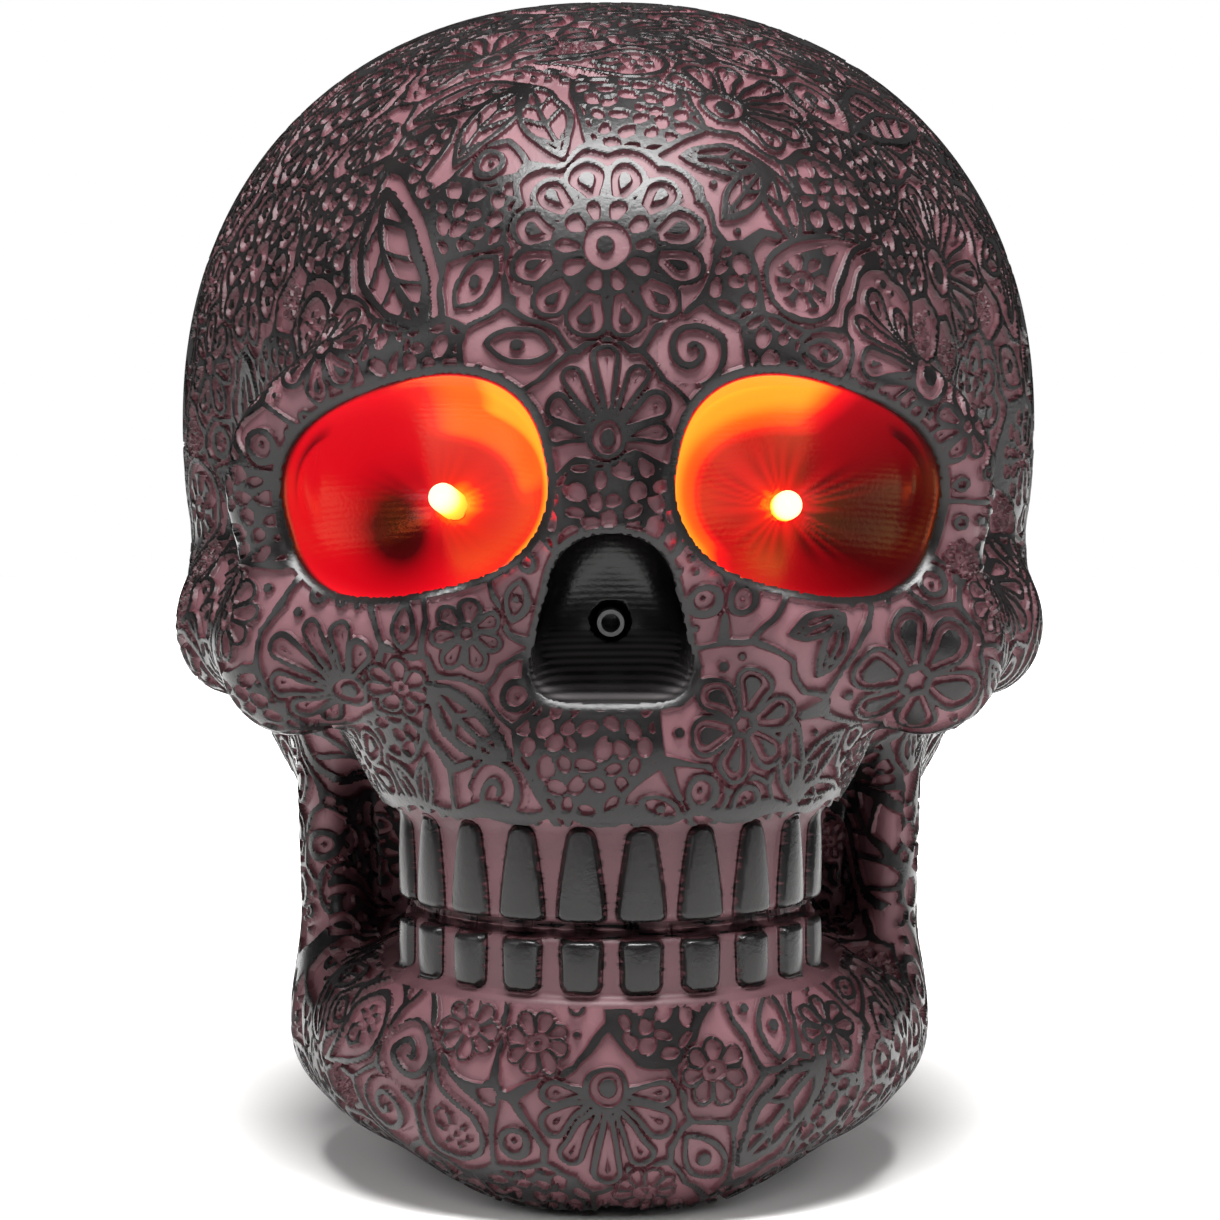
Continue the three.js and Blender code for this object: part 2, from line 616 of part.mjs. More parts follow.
// Levels and places that several pieces share
const PLATE_LOW = PAD_HEIGHT + PLATE_RECESS;
const PLATE_HIGH = PLATE_LOW + PLATE_THICKNESS;
const OPENING_RADII = FOOT_RADII.map((r) => r - FOOT_RIM);
const BAY_LENGTH = CELL_LENGTH + NUB_LENGTH + SPRING_LENGTH + 2 * CONTACT_THICKNESS + 5 * GAP;
const BAY_HALF = (CELL_COUNT - 1) * 0.5 * CELL_PITCH + CELL_RADIUS + BAY_SIDE_ROOM;
const BAY_FRONT = BAY_CENTRE_Y - BAY_LENGTH / 2;
const BAY_REAR = BAY_CENTRE_Y + BAY_LENGTH / 2;
const DOOR_TOP = PLATE_LOW + DOOR_THICKNESS;
const CELL_Z = DOOR_TOP + GAP + CELL_RADIUS;
const BAY_TOP = CELL_Z + CELL_RADIUS + BAY_HEAD_ROOM;
const ROOF_TOP = BAY_TOP + BAY_ROOF;
const BOARD_LOW = ROOF_TOP + POST_HEIGHT + GAP;
const BOARD_TOP = BOARD_LOW + BOARD[2];
const LEAD_EXIT_Z = CELL_Z + CONTACT_HEIGHT / 2 - LEAD_RADIUS - GAP;
const DOOR_FRONT = BAY_FRONT - DOOR_LIP;
const DOOR_REAR = BAY_REAR + DOOR_LIP;
const DOOR_HALF = BAY_HALF + DOOR_LIP;
const DOOR_SCREW_Y = DOOR_REAR + DOOR_TONGUE[1] / 2;
const SENSOR_SEAT_Y = NOSE_BACK_Y + WALL;
const EYE_FLOOR = vector(EYE_MOUTH).addScaledVector(EYE.back, EYE_DEPTH);

const mirrored = (v) => new THREE.Vector3(-v.x, v.y, v.z);

// Where a lamp stands in its socket's floor, and the way it points.
function lamp(side) {
  const floor = side === "left" ? mirrored(EYE_FLOOR) : EYE_FLOOR.clone();
  floor.x -= Math.sign(floor.x) * LED_OFF_CENTRE[side];
  const back = side === "left" ? mirrored(EYE.back) : EYE.back.clone();
  const lean = THREE.MathUtils.degToRad(LED_LEAN_DEG[side]);
  const out = back.clone().negate().applyAxisAngle(new THREE.Vector3(0.6, 0, 0.8), -lean);
  const seat = floor.clone().addScaledVector(out, -LED_SEAT_DEPTH);
  return { floor, out, seat };
}

function skullShell() {
  let body = solid(wrapped(SKIN_DETAIL, bone, true)).add(ornament());
  const reach = 2 * Math.max(...VAULT.radii);
  const below = block([-reach, -reach, -reach], [reach, reach, PAD_HEIGHT]);
  body = body.subtract(solid(below));
  body = body.subtract(socketCut(false)).subtract(socketCut(true)).subtract(noseCut());
  body = join([body, ...teeth()]);
  // The hollow, open at the base round the bosses for the base screws.
  const floor = block([-reach, -reach, -reach], [reach, reach, FLOOR_TOP]);
  body = body.subtract(solid(wrapped(HOLLOW_DETAIL, (p) => skull(p) + WALL, false)).subtract(solid(floor)));
  const opening = footOutline(OPENING_RADII);
  body = body.subtract(solid(slab(opening, 0, PLATE_HIGH + GAP)));
  const bosses = BASE_SCREWS.map(([x, y]) => {
    const inset = Math.hypot(x, y - FOOT_CENTRE_Y);
    const [ux, uy] = [x / inset, (y - FOOT_CENTRE_Y) / inset];
    const stem = solid(upright(x, y, PLATE_HIGH + GAP, FLOOR_TOP + 1, BOSS_RADIUS));
    const web = new THREE.BoxGeometry(2 * BOSS_RADIUS, FOOT_RIM, FLOOR_TOP + 1 - PLATE_HIGH - GAP);
    web.translate(0, FOOT_RIM / 2, (FLOOR_TOP + 1 + PLATE_HIGH + GAP) / 2);
    web.rotateZ(Math.atan2(uy, ux) - Math.PI / 2).translate(x, y, 0);
    return stem.add(solid(web));
  });
  const well = solid(slab(opening, PLATE_HIGH, WELL_TOP));
  body = body.subtract(well.subtract(join(bosses)));
  for (const [x, y] of BASE_SCREWS) {
    body = body.subtract(solid(upright(x, y, 0, FLOOR_TOP + 2, SCREW_SHANK_RADIUS + GAP, 16)));
  }
  // Holes for the lamps and for the sensor tube, each with a flat seat on the inside.
  for (const side of ["left", "right"]) {
    const { seat, out } = lamp(side);
    const [wide, narrow] = [LED_FLANGE[0] + RUNNING, LED_RADIUS + GAP];
    body = body.subtract(steppedHole(seat, out, wide, 20, narrow, LED_SEAT_DEPTH + 8));
  }
  const sensorSeat = new THREE.Vector3(0, SENSOR_SEAT_Y, SENSOR_Z);
  const outward = new THREE.Vector3(0, -1, 0);
  const sensorFlange = SENSOR_FLANGE[0] + RUNNING;
  return body.subtract(steppedHole(sensorSeat, outward, sensorFlange, 12, SENSOR_HOLE_RADIUS, WALL + 8));
}

// A hole that is wide behind its seat and narrow in front of it.
function steppedHole(seat, out, wide, behind, narrow, ahead) {
  const profile = [[0, -behind], [wide, -behind], [wide, 0], [narrow, 0], [narrow, ahead], [0, ahead]];
  return turnedOut(turning(profile, seat, out));
}

function basePlate() {
  const shape = footOutline(OPENING_RADII.map((r) => r - GAP));
  let body = solid(slab(shape, PLATE_LOW, PLATE_HIGH));
  const box = block(
    [-BAY_HALF - BAY_WALL, BAY_FRONT - BAY_WALL, PLATE_LOW + 1],
    [BAY_HALF + BAY_WALL, BAY_REAR + BAY_WALL, ROOF_TOP],
  );
  body = body.add(solid(box));
  for (const y of boardPosts()) {
    body = body.add(solid(upright(0, y, ROOF_TOP - 1, ROOF_TOP + POST_HEIGHT, POST_RADIUS)));
  }
  const bossTop = PLATE_HIGH + DOOR_BOSS_HEIGHT;
  body = body.add(solid(upright(0, DOOR_SCREW_Y, PLATE_HIGH - 1, bossTop, BOSS_RADIUS)));
  const bay = block([-BAY_HALF, BAY_FRONT, 0], [BAY_HALF, BAY_REAR, BAY_TOP]);
  const seat = block(
    [-DOOR_HALF - GAP, DOOR_FRONT - GAP, 0],
    [DOOR_HALF + GAP, DOOR_REAR + GAP, DOOR_TOP + GAP],
  );
  const tongue = block(
    [-DOOR_TONGUE[0] / 2 - GAP, DOOR_REAR - 1, 0],
    [DOOR_TONGUE[0] / 2 + GAP, DOOR_REAR + DOOR_TONGUE[1] + GAP, DOOR_TOP + GAP],
  );
  const cuts = [bay, seat, tongue];
  // Pockets that the door's tabs hook into and swing up in.
  const sweep = Math.hypot(TAB_REACH, DOOR_THICKNESS);
  for (const x of [-TAB_X, TAB_X]) {
    cuts.push(block(
      [x - TAB_WIDTH / 2 - GAP, DOOR_FRONT - TAB_REACH - RUNNING, DOOR_TOP - TAB_THICKNESS - GAP],
      [x + TAB_WIDTH / 2 + GAP, BAY_FRONT + 0.1, PLATE_LOW + sweep + GAP],
    ));
  }
  const slotX = (KNOB[0] + SWITCH_TRAVEL) / 2 + GAP;
  const slotY = KNOB[1] / 2 + GAP;
  cuts.push(block([-slotX, SWITCH_Y - slotY, 0], [slotX, SWITCH_Y + slotY, PLATE_HIGH + 1]));
  for (const cut of cuts) body = body.subtract(solid(cut));
  for (const [x, y] of BASE_SCREWS) {
    body = body.subtract(solid(upright(x, y, 0, PLATE_HIGH + 1, SCREW_SHANK_RADIUS + GAP, 16)));
    const sunk = PLATE_LOW + SCREW_HEAD_HEIGHT + GAP;
    body = body.subtract(solid(upright(x, y, 0, sunk, SCREW_HEAD_RADIUS + GAP)));
  }
  const leadHole = (x, from, to) => {
    return solid(bar([x, from, LEAD_EXIT_Z], [x, to, LEAD_EXIT_Z], LEAD_RADIUS + GAP, 12));
  };
  body = body.subtract(leadHole(cellX(0), BAY_REAR - 1, BAY_REAR + BAY_WALL + 1));
  body = body.subtract(leadHole(cellX(CELL_COUNT - 1), BAY_FRONT + 1, BAY_FRONT - BAY_WALL - 1));
  body = body.subtract(solid(upright(0, DOOR_SCREW_Y, 0, bossTop + 1, SCREW_SHANK_RADIUS + RUNNING, 16)));
  for (const y of boardPosts()) {
    const [deep, top] = [BAY_TOP + BAY_ROOF / 2, ROOF_TOP + POST_HEIGHT + 1];
    body = body.subtract(solid(upright(0, y, deep, top, SCREW_SHANK_RADIUS + GAP, 16)));
  }
  return body;
}

const boardPosts = () => [BAY_CENTRE_Y - POST_SPACING / 2, BAY_CENTRE_Y + POST_SPACING / 2];

function batteryDoor() {
  const panel = block([-DOOR_HALF, DOOR_FRONT, PLATE_LOW], [DOOR_HALF, DOOR_REAR, DOOR_TOP]);
  const tongue = block(
    [-DOOR_TONGUE[0] / 2, DOOR_REAR - 1, PLATE_LOW],
    [DOOR_TONGUE[0] / 2, DOOR_REAR + DOOR_TONGUE[1], DOOR_TOP],
  );
  let body = solid(panel).add(solid(tongue));
  for (const x of [-TAB_X, TAB_X]) {
    const tab = block(
      [x - TAB_WIDTH / 2, DOOR_FRONT - TAB_REACH, DOOR_TOP - TAB_THICKNESS],
      [x + TAB_WIDTH / 2, DOOR_FRONT + 1, DOOR_TOP],
    );
    body = body.add(solid(tab));
  }
  // Grip ribs pressed into the underside, and the screw's hole.
  const ribs = 4;
  for (let i = 0; i < ribs; i++) {
    const y = DOOR_REAR - 3 - i * 2.4;
    body = body.subtract(solid(block([-7, y - 0.6, 0], [7, y + 0.6, PLATE_LOW + 0.5])));
  }
  body = body.subtract(solid(upright(0, DOOR_SCREW_Y, 0, DOOR_TOP + 1, SCREW_SHANK_RADIUS + GAP, 16)));
  const sunk = PLATE_LOW + SCREW_HEAD_HEIGHT + GAP;
  return body.subtract(solid(upright(0, DOOR_SCREW_Y, 0, sunk, SCREW_HEAD_RADIUS + GAP)));
}

// A pan-head screw whose head bears at a height and whose shank runs up or down from it.
function screw(x, y, headLow, shankTo, slotDepth = 0.6) {
  const headHigh = headLow + SCREW_HEAD_HEIGHT;
  const shankUp = shankTo > headLow;
  let body = solid(upright(x, y, headLow, headHigh, SCREW_HEAD_RADIUS));
  const [low, high] = shankUp ? [headHigh - 0.5, shankTo] : [shankTo, headLow + 0.5];
  body = body.add(solid(upright(x, y, low, high, SCREW_SHANK_RADIUS, 12)));
  const face = shankUp ? [headLow - 1, headLow + slotDepth] : [headHigh - slotDepth, headHigh + 1];
  for (const [w, l] of [[0.4, 1.6], [1.6, 0.4]]) {
    body = body.subtract(solid(block([x - w, y - l, face[0]], [x + w, y + l, face[1]])));
  }
  return body;
}

// Cells lie side by side along Y, every second one turned round.
const cellX = (i) => (i - (CELL_COUNT - 1) / 2) * CELL_PITCH;
const nubAtRear = (i) => i % 2 === 0;
const REAR_CONTACT_FACE = BAY_REAR - GAP - CONTACT_THICKNESS;
const FRONT_CONTACT_FACE = BAY_FRONT + GAP + CONTACT_THICKNESS;

function cell(i) {
  const profile = [[0, 0], [CELL_RADIUS, 0], [CELL_RADIUS, CELL_LENGTH], [NUB_RADIUS, CELL_LENGTH],
    [NUB_RADIUS, CELL_LENGTH + NUB_LENGTH], [0, CELL_LENGTH + NUB_LENGTH]];
  const tip = nubAtRear(i) ? REAR_CONTACT_FACE - GAP : FRONT_CONTACT_FACE + GAP;
  const way = nubAtRear(i) ? 1 : -1;
  const foot = new THREE.Vector3(cellX(i), tip - way * (CELL_LENGTH + NUB_LENGTH), CELL_Z);
  return turning(profile, foot, new THREE.Vector3(0, way, 0), 24);
}

// A contact plate standing against an end wall of the bay, from one cell to another.
function contact(atRear, first, last) {
  const [near, far] = atRear
    ? [REAR_CONTACT_FACE, REAR_CONTACT_FACE + CONTACT_THICKNESS]
    : [FRONT_CONTACT_FACE - CONTACT_THICKNESS, FRONT_CONTACT_FACE];
  const half = CONTACT_WIDTH / 2;
  const low = CELL_Z - CONTACT_HEIGHT / 2;
  return block([cellX(first) - half, near, low], [cellX(last) + half, far, low + CONTACT_HEIGHT]);
}

class Helix extends THREE.Curve {
  constructor(start, length, radius, turns) {
    super();
    Object.assign(this, { start, length, radius, turns });
  }
  getPoint(t) {
    const a = 2 * Math.PI * this.turns * t;
    const spot = new THREE.Vector3(this.radius * Math.cos(a), this.length * t, this.radius * Math.sin(a));
    return spot.add(this.start);
  }
}

function contactSpring(i) {
  const run = SPRING_LENGTH - 2 * SPRING_WIRE;
  const low = nubAtRear(i) ? FRONT_CONTACT_FACE + GAP : REAR_CONTACT_FACE - GAP - SPRING_LENGTH;
  const start = new THREE.Vector3(cellX(i), low + SPRING_WIRE, CELL_Z);
  const extrudePath = new Helix(start, run, SPRING_RADIUS, SPRING_TURNS);
  const section = outline(superellipse(SPRING_WIRE, SPRING_WIRE, 2, 5));
  return new THREE.ExtrudeGeometry(section, { steps: 8 * SPRING_TURNS, bevelEnabled: false, extrudePath });
}

function switchBody() {
  const [x, y, z] = SWITCH_BODY;
  const low = PLATE_HIGH + GAP;
  const shell = block([-x / 2, SWITCH_Y - y / 2, low], [x / 2, SWITCH_Y + y / 2, low + z]);
  const [roomX, roomY] = [x / 2 - SWITCH_WALL, y / 2 - SWITCH_WALL];
  const hollow = block([-roomX, SWITCH_Y - roomY, 0], [roomX, SWITCH_Y + roomY, low + z - SWITCH_WALL]);
  return solid(shell).subtract(solid(hollow));
}

function switchSlider() {
  const x = SWITCH_TRAVEL / 2;
  const low = PLATE_HIGH + GAP;
  const knob = block(
    [x - KNOB[0] / 2, SWITCH_Y - KNOB[1] / 2, PLATE_LOW + KNOB_INSET],
    [x + KNOB[0] / 2, SWITCH_Y + KNOB[1] / 2, low + 0.5],
  );
  const [w, l, h] = KNOB_SHOULDER;
  const shoulder = block([x - w / 2, SWITCH_Y - l / 2, low], [x + w / 2, SWITCH_Y + l / 2, low + h]);
  return solid(knob).add(solid(shoulder));
}

function circuitBoard() {
  const [w, l] = BOARD;
  const panel = block([-w / 2, BAY_CENTRE_Y - l / 2, BOARD_LOW], [w / 2, BAY_CENTRE_Y + l / 2, BOARD_TOP]);
  let body = solid(panel);
  for (const y of boardPosts()) {
    body = body.subtract(solid(upright(0, y, 0, BOARD_TOP + 1, SCREW_SHANK_RADIUS + GAP, 16)));
  }
  return body;
}

function controlChip() {
  const steps = 4;
  const profile = [[0, 0], [CHIP.radius, 0]];
  for (let i = 1; i <= steps; i++) {
    const t = (Math.PI / 2) * (i / steps);
    profile.push([i === steps ? 0 : CHIP.radius * Math.cos(t), CHIP.height * Math.sin(t)]);
  }
  const place = new THREE.Vector3(CHIP.place[0], CHIP.place[1], BOARD_TOP + GAP);
  return turning(profile, place, new THREE.Vector3(0, 0, 1), 16);
}

// A 5 mm lamp: flange behind the wall, straight side, domed lens.
function eyeLed(side) {
  const { seat, out } = lamp(side);
  const [flange, thick] = LED_FLANGE;
  const straight = LED_SEAT_DEPTH + LED_STAND;
  const profile = [[0, -thick], [flange, -thick], [flange, 0], [LED_RADIUS, 0], [LED_RADIUS, straight]];
  const steps = 5;
  for (let i = 1; i <= steps; i++) {
    const t = (Math.PI / 2) * (i / steps);
    profile.push([i === steps ? 0 : LED_RADIUS * Math.cos(t), straight + LED_RADIUS * Math.sin(t)]);
  }
  return turning(profile, seat.clone().addScaledVector(out, -GAP), out);
}

function sensorTube() {
  const [bore, outside] = SENSOR_RADII;
  const [flange, thick] = SENSOR_FLANGE;
  const seat = WALL + GAP;
  const profile = [[bore, -SENSOR_STAND], [outside, -SENSOR_STAND], [outside, seat], [flange, seat],
    [flange, seat + thick], [bore, seat + thick], [bore, -SENSOR_STAND]];
  return turning(profile, new THREE.Vector3(0, NOSE_BACK_Y, SENSOR_Z), new THREE.Vector3(0, 1, 0));
}

const PHOTOCELL_FRONT = SENSOR_SEAT_Y + GAP + SENSOR_FLANGE[1] + GAP;

function lightSensor() {
  const [radius, thick] = PHOTOCELL;
  const profile = [[0, 0], [radius, 0], [radius, thick], [0, thick]];
  return turning(profile, new THREE.Vector3(0, PHOTOCELL_FRONT, SENSOR_Z), new THREE.Vector3(0, 1, 0), 16);
}

// Leads run from each electrical piece down to the top of the board.
const LEAD_TOP = BOARD_TOP + GAP;
const boardEnd = (x, y) => [[x, y, LEAD_TOP + 8], [x, y, LEAD_TOP]];

function eyeLead(side) {
  const { seat, out } = lamp(side);
  const way = side === "left" ? -1 : 1;
  const start = seat.clone().addScaledVector(out, -GAP - LED_FLANGE[1] - GAP);
  const next = start.clone().addScaledVector(out, -9);
  const middle = [[way * 15, 2, 88], [way * 9, 4, 55]];
  return leadGeometry([start.toArray(), next.toArray(), ...middle, ...boardEnd(way * 8, 4)]);
}

function sensorLead() {
  const start = PHOTOCELL_FRONT + PHOTOCELL[1] + GAP;
  const [near, next] = [[0, start, SENSOR_Z], [0, start + 8, SENSOR_Z]];
  return leadGeometry([near, next, [0, -18, 70], [0, -13, 45], ...boardEnd(0, -12)]);
}

// From a contact's back, out through the end wall, over the roof of the bay and down onto the board.
function batteryLead(x, atRear) {
  const start = atRear ? BAY_REAR : BAY_FRONT;
  const way = atRear ? 1 : -1;
  const out = start + way * (BAY_WALL + LEAD_RADIUS + 1.4);
  const inside = BAY_CENTRE_Y + way * (BOARD[1] / 2 - 3);
  return leadGeometry([
    [x, start, LEAD_EXIT_Z],
    [x, start + way * BAY_WALL, LEAD_EXIT_Z],
    [x, out, LEAD_EXIT_Z + 2],
    [x, out, ROOF_TOP + 3],
    [x, out - way * 3, LEAD_TOP + 7],
    [x, inside, LEAD_TOP + 5],
    [x, inside, LEAD_TOP],
  ]);
}

function switchLead() {
  const top = PLATE_HIGH + GAP + SWITCH_BODY[2] + GAP;
  const inside = BAY_CENTRE_Y - BOARD[1] / 2 + 3;
  return leadGeometry([
    [0, SWITCH_Y, top],
    [0, SWITCH_Y, top + 8],
    [0, SWITCH_Y + 5, LEAD_TOP + 8],
    [3, inside, LEAD_TOP + 6],
    [3, inside, LEAD_TOP],
  ]);
}

// Assembly
const root = new THREE.Group();

function add(name, shape, material) {
  const geometry = shape.isBufferGeometry ? shape : geometryOf(shape);
  const mesh = new THREE.Mesh(geometry, material);
  mesh.name = name;
  root.add(mesh);
}

add("skull_shell", skullShell(), RESIN);

// Pads sit in the middle of the flat rim, one in each quarter.
const padTrack = FOOT_RADII.map((r) => r - FOOT_RIM / 2);
const [px, py] = superellipse(...padTrack, FOOT_POWER, 8)[1];
for (const [i, [sx, sy]] of [[-1, -1], [1, -1], [-1, 1], [1, 1]].entries()) {
  add(`foot_pad_${i + 1}`, upright(sx * px, FOOT_CENTRE_Y + sy * py, 0, PAD_HEIGHT, PAD_RADIUS), FOAM);
}

add("base_plate", basePlate(), BLACK_ABS);
for (const [i, [x, y]] of BASE_SCREWS.entries()) {
  add(`base_screw_${i + 1}`, screw(x, y, PLATE_LOW, PLATE_LOW + BASE_SCREW_LENGTH), STEEL);
}

add("battery_door", batteryDoor(), BLACK_ABS);
add("door_screw", screw(0, DOOR_SCREW_Y, PLATE_LOW, DOOR_TOP + DOOR_SCREW_LENGTH), STEEL);

for (let i = 0; i < CELL_COUNT; i++) {
  add(`battery_${i + 1}`, cell(i), CELL_WRAP);
  add(`contact_spring_${i + 1}`, contactSpring(i), NICKEL);
}
add("contact_link_front", contact(false, 0, 1), NICKEL);
add("contact_end_front", contact(false, 2, 2), NICKEL);
add("contact_end_rear", contact(true, 0, 0), NICKEL);
add("contact_link_rear", contact(true, 1, 2), NICKEL);

add("switch_body", switchBody(), BLACK_ABS);
add("switch_slider", switchSlider(), BLACK_ABS);

add("circuit_board", circuitBoard(), BOARD_GREEN);
add("control_chip", controlChip(), EPOXY);
for (const [i, y] of boardPosts().entries()) {
  add(`board_screw_${i + 1}`, screw(0, y, BOARD_TOP + GAP, BOARD_TOP - BOARD_SCREW_LENGTH), STEEL);
}

for (const side of ["left", "right"]) {
  add(`eye_led_${side}`, eyeLed(side), RED_LENS);
  add(`eye_lead_${side}`, eyeLead(side), RED_PVC);
}
add("sensor_tube", sensorTube(), BLACK_ABS);
add("light_sensor", lightSensor(), EPOXY);
add("sensor_lead", sensorLead(), BLACK_PVC);
add("battery_lead_positive", batteryLead(cellX(0), true), RED_PVC);
add("battery_lead_negative", batteryLead(cellX(CELL_COUNT - 1), false), BLACK_PVC);
add("switch_lead", switchLead(), RED_PVC);

// The origin lies on the floor under the middle of the whole.
const bounds = new THREE.Box3().setFromObject(root);
root.position.y = -(bounds.min.y + bounds.max.y) / 2;

export default root;
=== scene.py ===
import math

import bmesh
import bpy
import numpy as np
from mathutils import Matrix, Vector, kdtree


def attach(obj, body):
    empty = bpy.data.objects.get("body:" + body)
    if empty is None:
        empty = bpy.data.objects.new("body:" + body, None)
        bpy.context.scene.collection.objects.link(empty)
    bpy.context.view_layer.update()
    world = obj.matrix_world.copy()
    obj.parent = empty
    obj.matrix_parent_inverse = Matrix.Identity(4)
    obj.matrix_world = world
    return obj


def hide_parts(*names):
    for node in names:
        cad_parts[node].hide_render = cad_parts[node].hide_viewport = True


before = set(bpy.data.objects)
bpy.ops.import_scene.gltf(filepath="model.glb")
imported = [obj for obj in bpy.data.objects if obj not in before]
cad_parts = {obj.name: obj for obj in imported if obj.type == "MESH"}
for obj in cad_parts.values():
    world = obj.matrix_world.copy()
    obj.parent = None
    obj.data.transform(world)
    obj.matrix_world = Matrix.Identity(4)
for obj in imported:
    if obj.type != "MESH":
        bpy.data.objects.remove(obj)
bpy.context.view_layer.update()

# Camera and studio
# A long lens straight at the face and a little above it, as on a product page: a sheet of pale paper, one
# large soft box overhead that rakes the relief, and weak ones at both sides and in front.
camera_data = bpy.data.cameras.new("camera")
camera_data.sensor_width = 36.0
camera_data.lens = 200.5
camera_data.clip_start = 0.05
camera_data.clip_end = 20.0
camera = bpy.data.objects.new("camera", camera_data)
bpy.context.scene.collection.objects.link(camera)
LOOK_AT = Vector((0.0002, 0.0019, 0.0945))
CAMERA_DISTANCE = 1.2
CAMERA_ELEVATION = math.radians(6.0)
CAMERA_AZIMUTH = math.radians(-0.3)
camera.location = LOOK_AT + CAMERA_DISTANCE * Vector(
    (
        math.sin(CAMERA_AZIMUTH) * math.cos(CAMERA_ELEVATION),
        -math.cos(CAMERA_AZIMUTH) * math.cos(CAMERA_ELEVATION),
        math.sin(CAMERA_ELEVATION),
    )
)
camera.rotation_euler = (LOOK_AT - camera.location).to_track_quat("-Z", "Y").to_euler()
bpy.context.scene.camera = camera


def linear(hex_colour):
    """An sRGB colour such as "8a5560" as linear RGBA."""
    channels = [int(hex_colour[i : i + 2], 16) / 255 for i in (0, 2, 4)]
    return tuple(c / 12.92 if c <= 0.04045 else ((c + 0.055) / 1.055) ** 2.4 for c in channels) + (1.0,)


def new_material(name):
    """An empty node material, the function that adds a node to it and the one that sets its surface."""
    material = bpy.data.materials.new(name)
    material.use_nodes = True
    tree = material.node_tree
    tree.nodes.clear()
    output = tree.nodes.new("ShaderNodeOutputMaterial")

    def add(kind, settings=None, **inputs):
        """A node with its properties set and its sockets linked or set by name (spaces as _) or number (i0)."""
        node = tree.nodes.new(kind)
        for key, value in (settings or {}).items():
            setattr(node, key, value)
        for key, value in inputs.items():
            numbered = key[0] == "i" and key[1:].isdigit()
            socket = node.inputs[int(key[1:]) if numbered else key.replace("_", " ")]
            if isinstance(value, bpy.types.NodeSocket):
                tree.links.new(value, socket)
            else:
                socket.default_value = value
        return node

    def shade(shader):
        tree.links.new(shader, output.inputs["Surface"])

    return material, add, shade


def ramp(node, stops):
    """Sets a colour ramp's stops: (position, RGBA)."""
    elements = node.color_ramp.elements
    while len(elements) > 1:
        elements.remove(elements[-1])
    for i, (position, colour) in enumerate(stops):
        element = elements[0] if i == 0 else elements.new(position)
        element.position = position
        element.color = colour
    return node


PAPER_HALF = 1.0
PAPER_WHITE = (0.12, 0.7)  # metres from the middle over which the sheet burns out to white
floor_mesh = bpy.data.meshes.new("floor")
bm = bmesh.new()
bmesh.ops.create_grid(bm, x_segments=1, y_segments=1, size=PAPER_HALF)
bm.to_mesh(floor_mesh)
bm.free()
floor = bpy.data.objects.new("floor", floor_mesh)
bpy.context.scene.collection.objects.link(floor)
# Matt paper, near white: it keeps a soft shadow close to the skull and fades into the backdrop.
floor_material, add, shade = new_material("studio_paper")
far = add("ShaderNodeVectorMath", {"operation": "LENGTH"}, i0=add("ShaderNodeTexCoord").outputs["Object"])
lit = add(
    "ShaderNodeMapRange",
    {"interpolation_type": "SMOOTHSTEP"},
    Value=far.outputs["Value"],
    From_Min=PAPER_WHITE[0],
    From_Max=PAPER_WHITE[1],
    To_Max=1.0,
)
paper = add(
    "ShaderNodeBsdfPrincipled",
    Base_Color=linear("f6f5f4"),
    Roughness=0.9,
    Emission_Color=linear("ffffff"),
    Emission_Strength=lit.outputs["Result"],
)
shade(paper.outputs["BSDF"])
floor_mesh.materials.append(floor_material)


def soft_box(name, place, target, size, watts):
    """A rectangular light that faces a target."""
    data = bpy.data.lights.new(name, "AREA")
    data.shape = "RECTANGLE"
    data.size, data.size_y = size
    data.energy = watts
    light = bpy.data.objects.new(name, data)
    bpy.context.scene.collection.objects.link(light)
    light.location = place
    light.rotation_euler = (Vector(target) - Vector(place)).to_track_quat("-Z", "Y").to_euler()


soft_box("top_soft_box", (0.0, -0.3, 1.1), (0, 0, 0.12), (0.7, 0.5), 45)
soft_box("left_soft_box", (-0.95, -0.45, 0.6), (0, 0, 0.1), (0.5, 0.8), 4.5)
soft_box("right_soft_box", (0.95, -0.45, 0.6), (0, 0, 0.1), (0.5, 0.8), 4.5)
soft_box("front_fill", (0.0, -1.5, 0.75), (0, 0, 0.1), (0.8, 0.4), 2.5)
ROOM_LIGHT, BACKDROP = 0.1, 1.0  # dim for the skull, white behind it
world = bpy.data.worlds.new("studio")
bpy.context.scene.world = world
world.use_nodes = True
sky = world.node_tree.nodes["Background"]
sky.inputs["Color"].default_value = (1, 1, 1, 1)
seen = world.node_tree.nodes.new("ShaderNodeLightPath").outputs["Is Camera Ray"]
level = world.node_tree.nodes.new("ShaderNodeMapRange")
level.inputs["To Min"].default_value = ROOM_LIGHT
level.inputs["To Max"].default_value = BACKDROP
world.node_tree.links.new(seen, level.inputs["Value"])
world.node_tree.links.new(level.outputs["Result"], sky.inputs["Strength"])
bpy.context.scene.view_settings.view_transform = "Standard"

# Skull casting
# One hollow piece of cast resin, jaw and teeth cast in place, made in a flexible mould. Its form is the
# same joined lumps, sticks and drums as its solid, with the teeth and the raised ornament cut finer.
# All sizes of the sculpt are in millimetres.
MM = 0.001
SHIFT_Y = 1.3436  # the sculpt's own centre line lies this far in front of the part's origin


def soft_min(a, b, blend):
    """Two distances joined with a rounded inner corner."""
    h = np.maximum(blend - np.abs(a - b), 0) / blend
    return np.minimum(a, b) - h * h * blend / 4


def soft_max(a, b, blend):
    """What two distances share, with a rounded edge."""
    return -soft_min(-a, -b, blend)


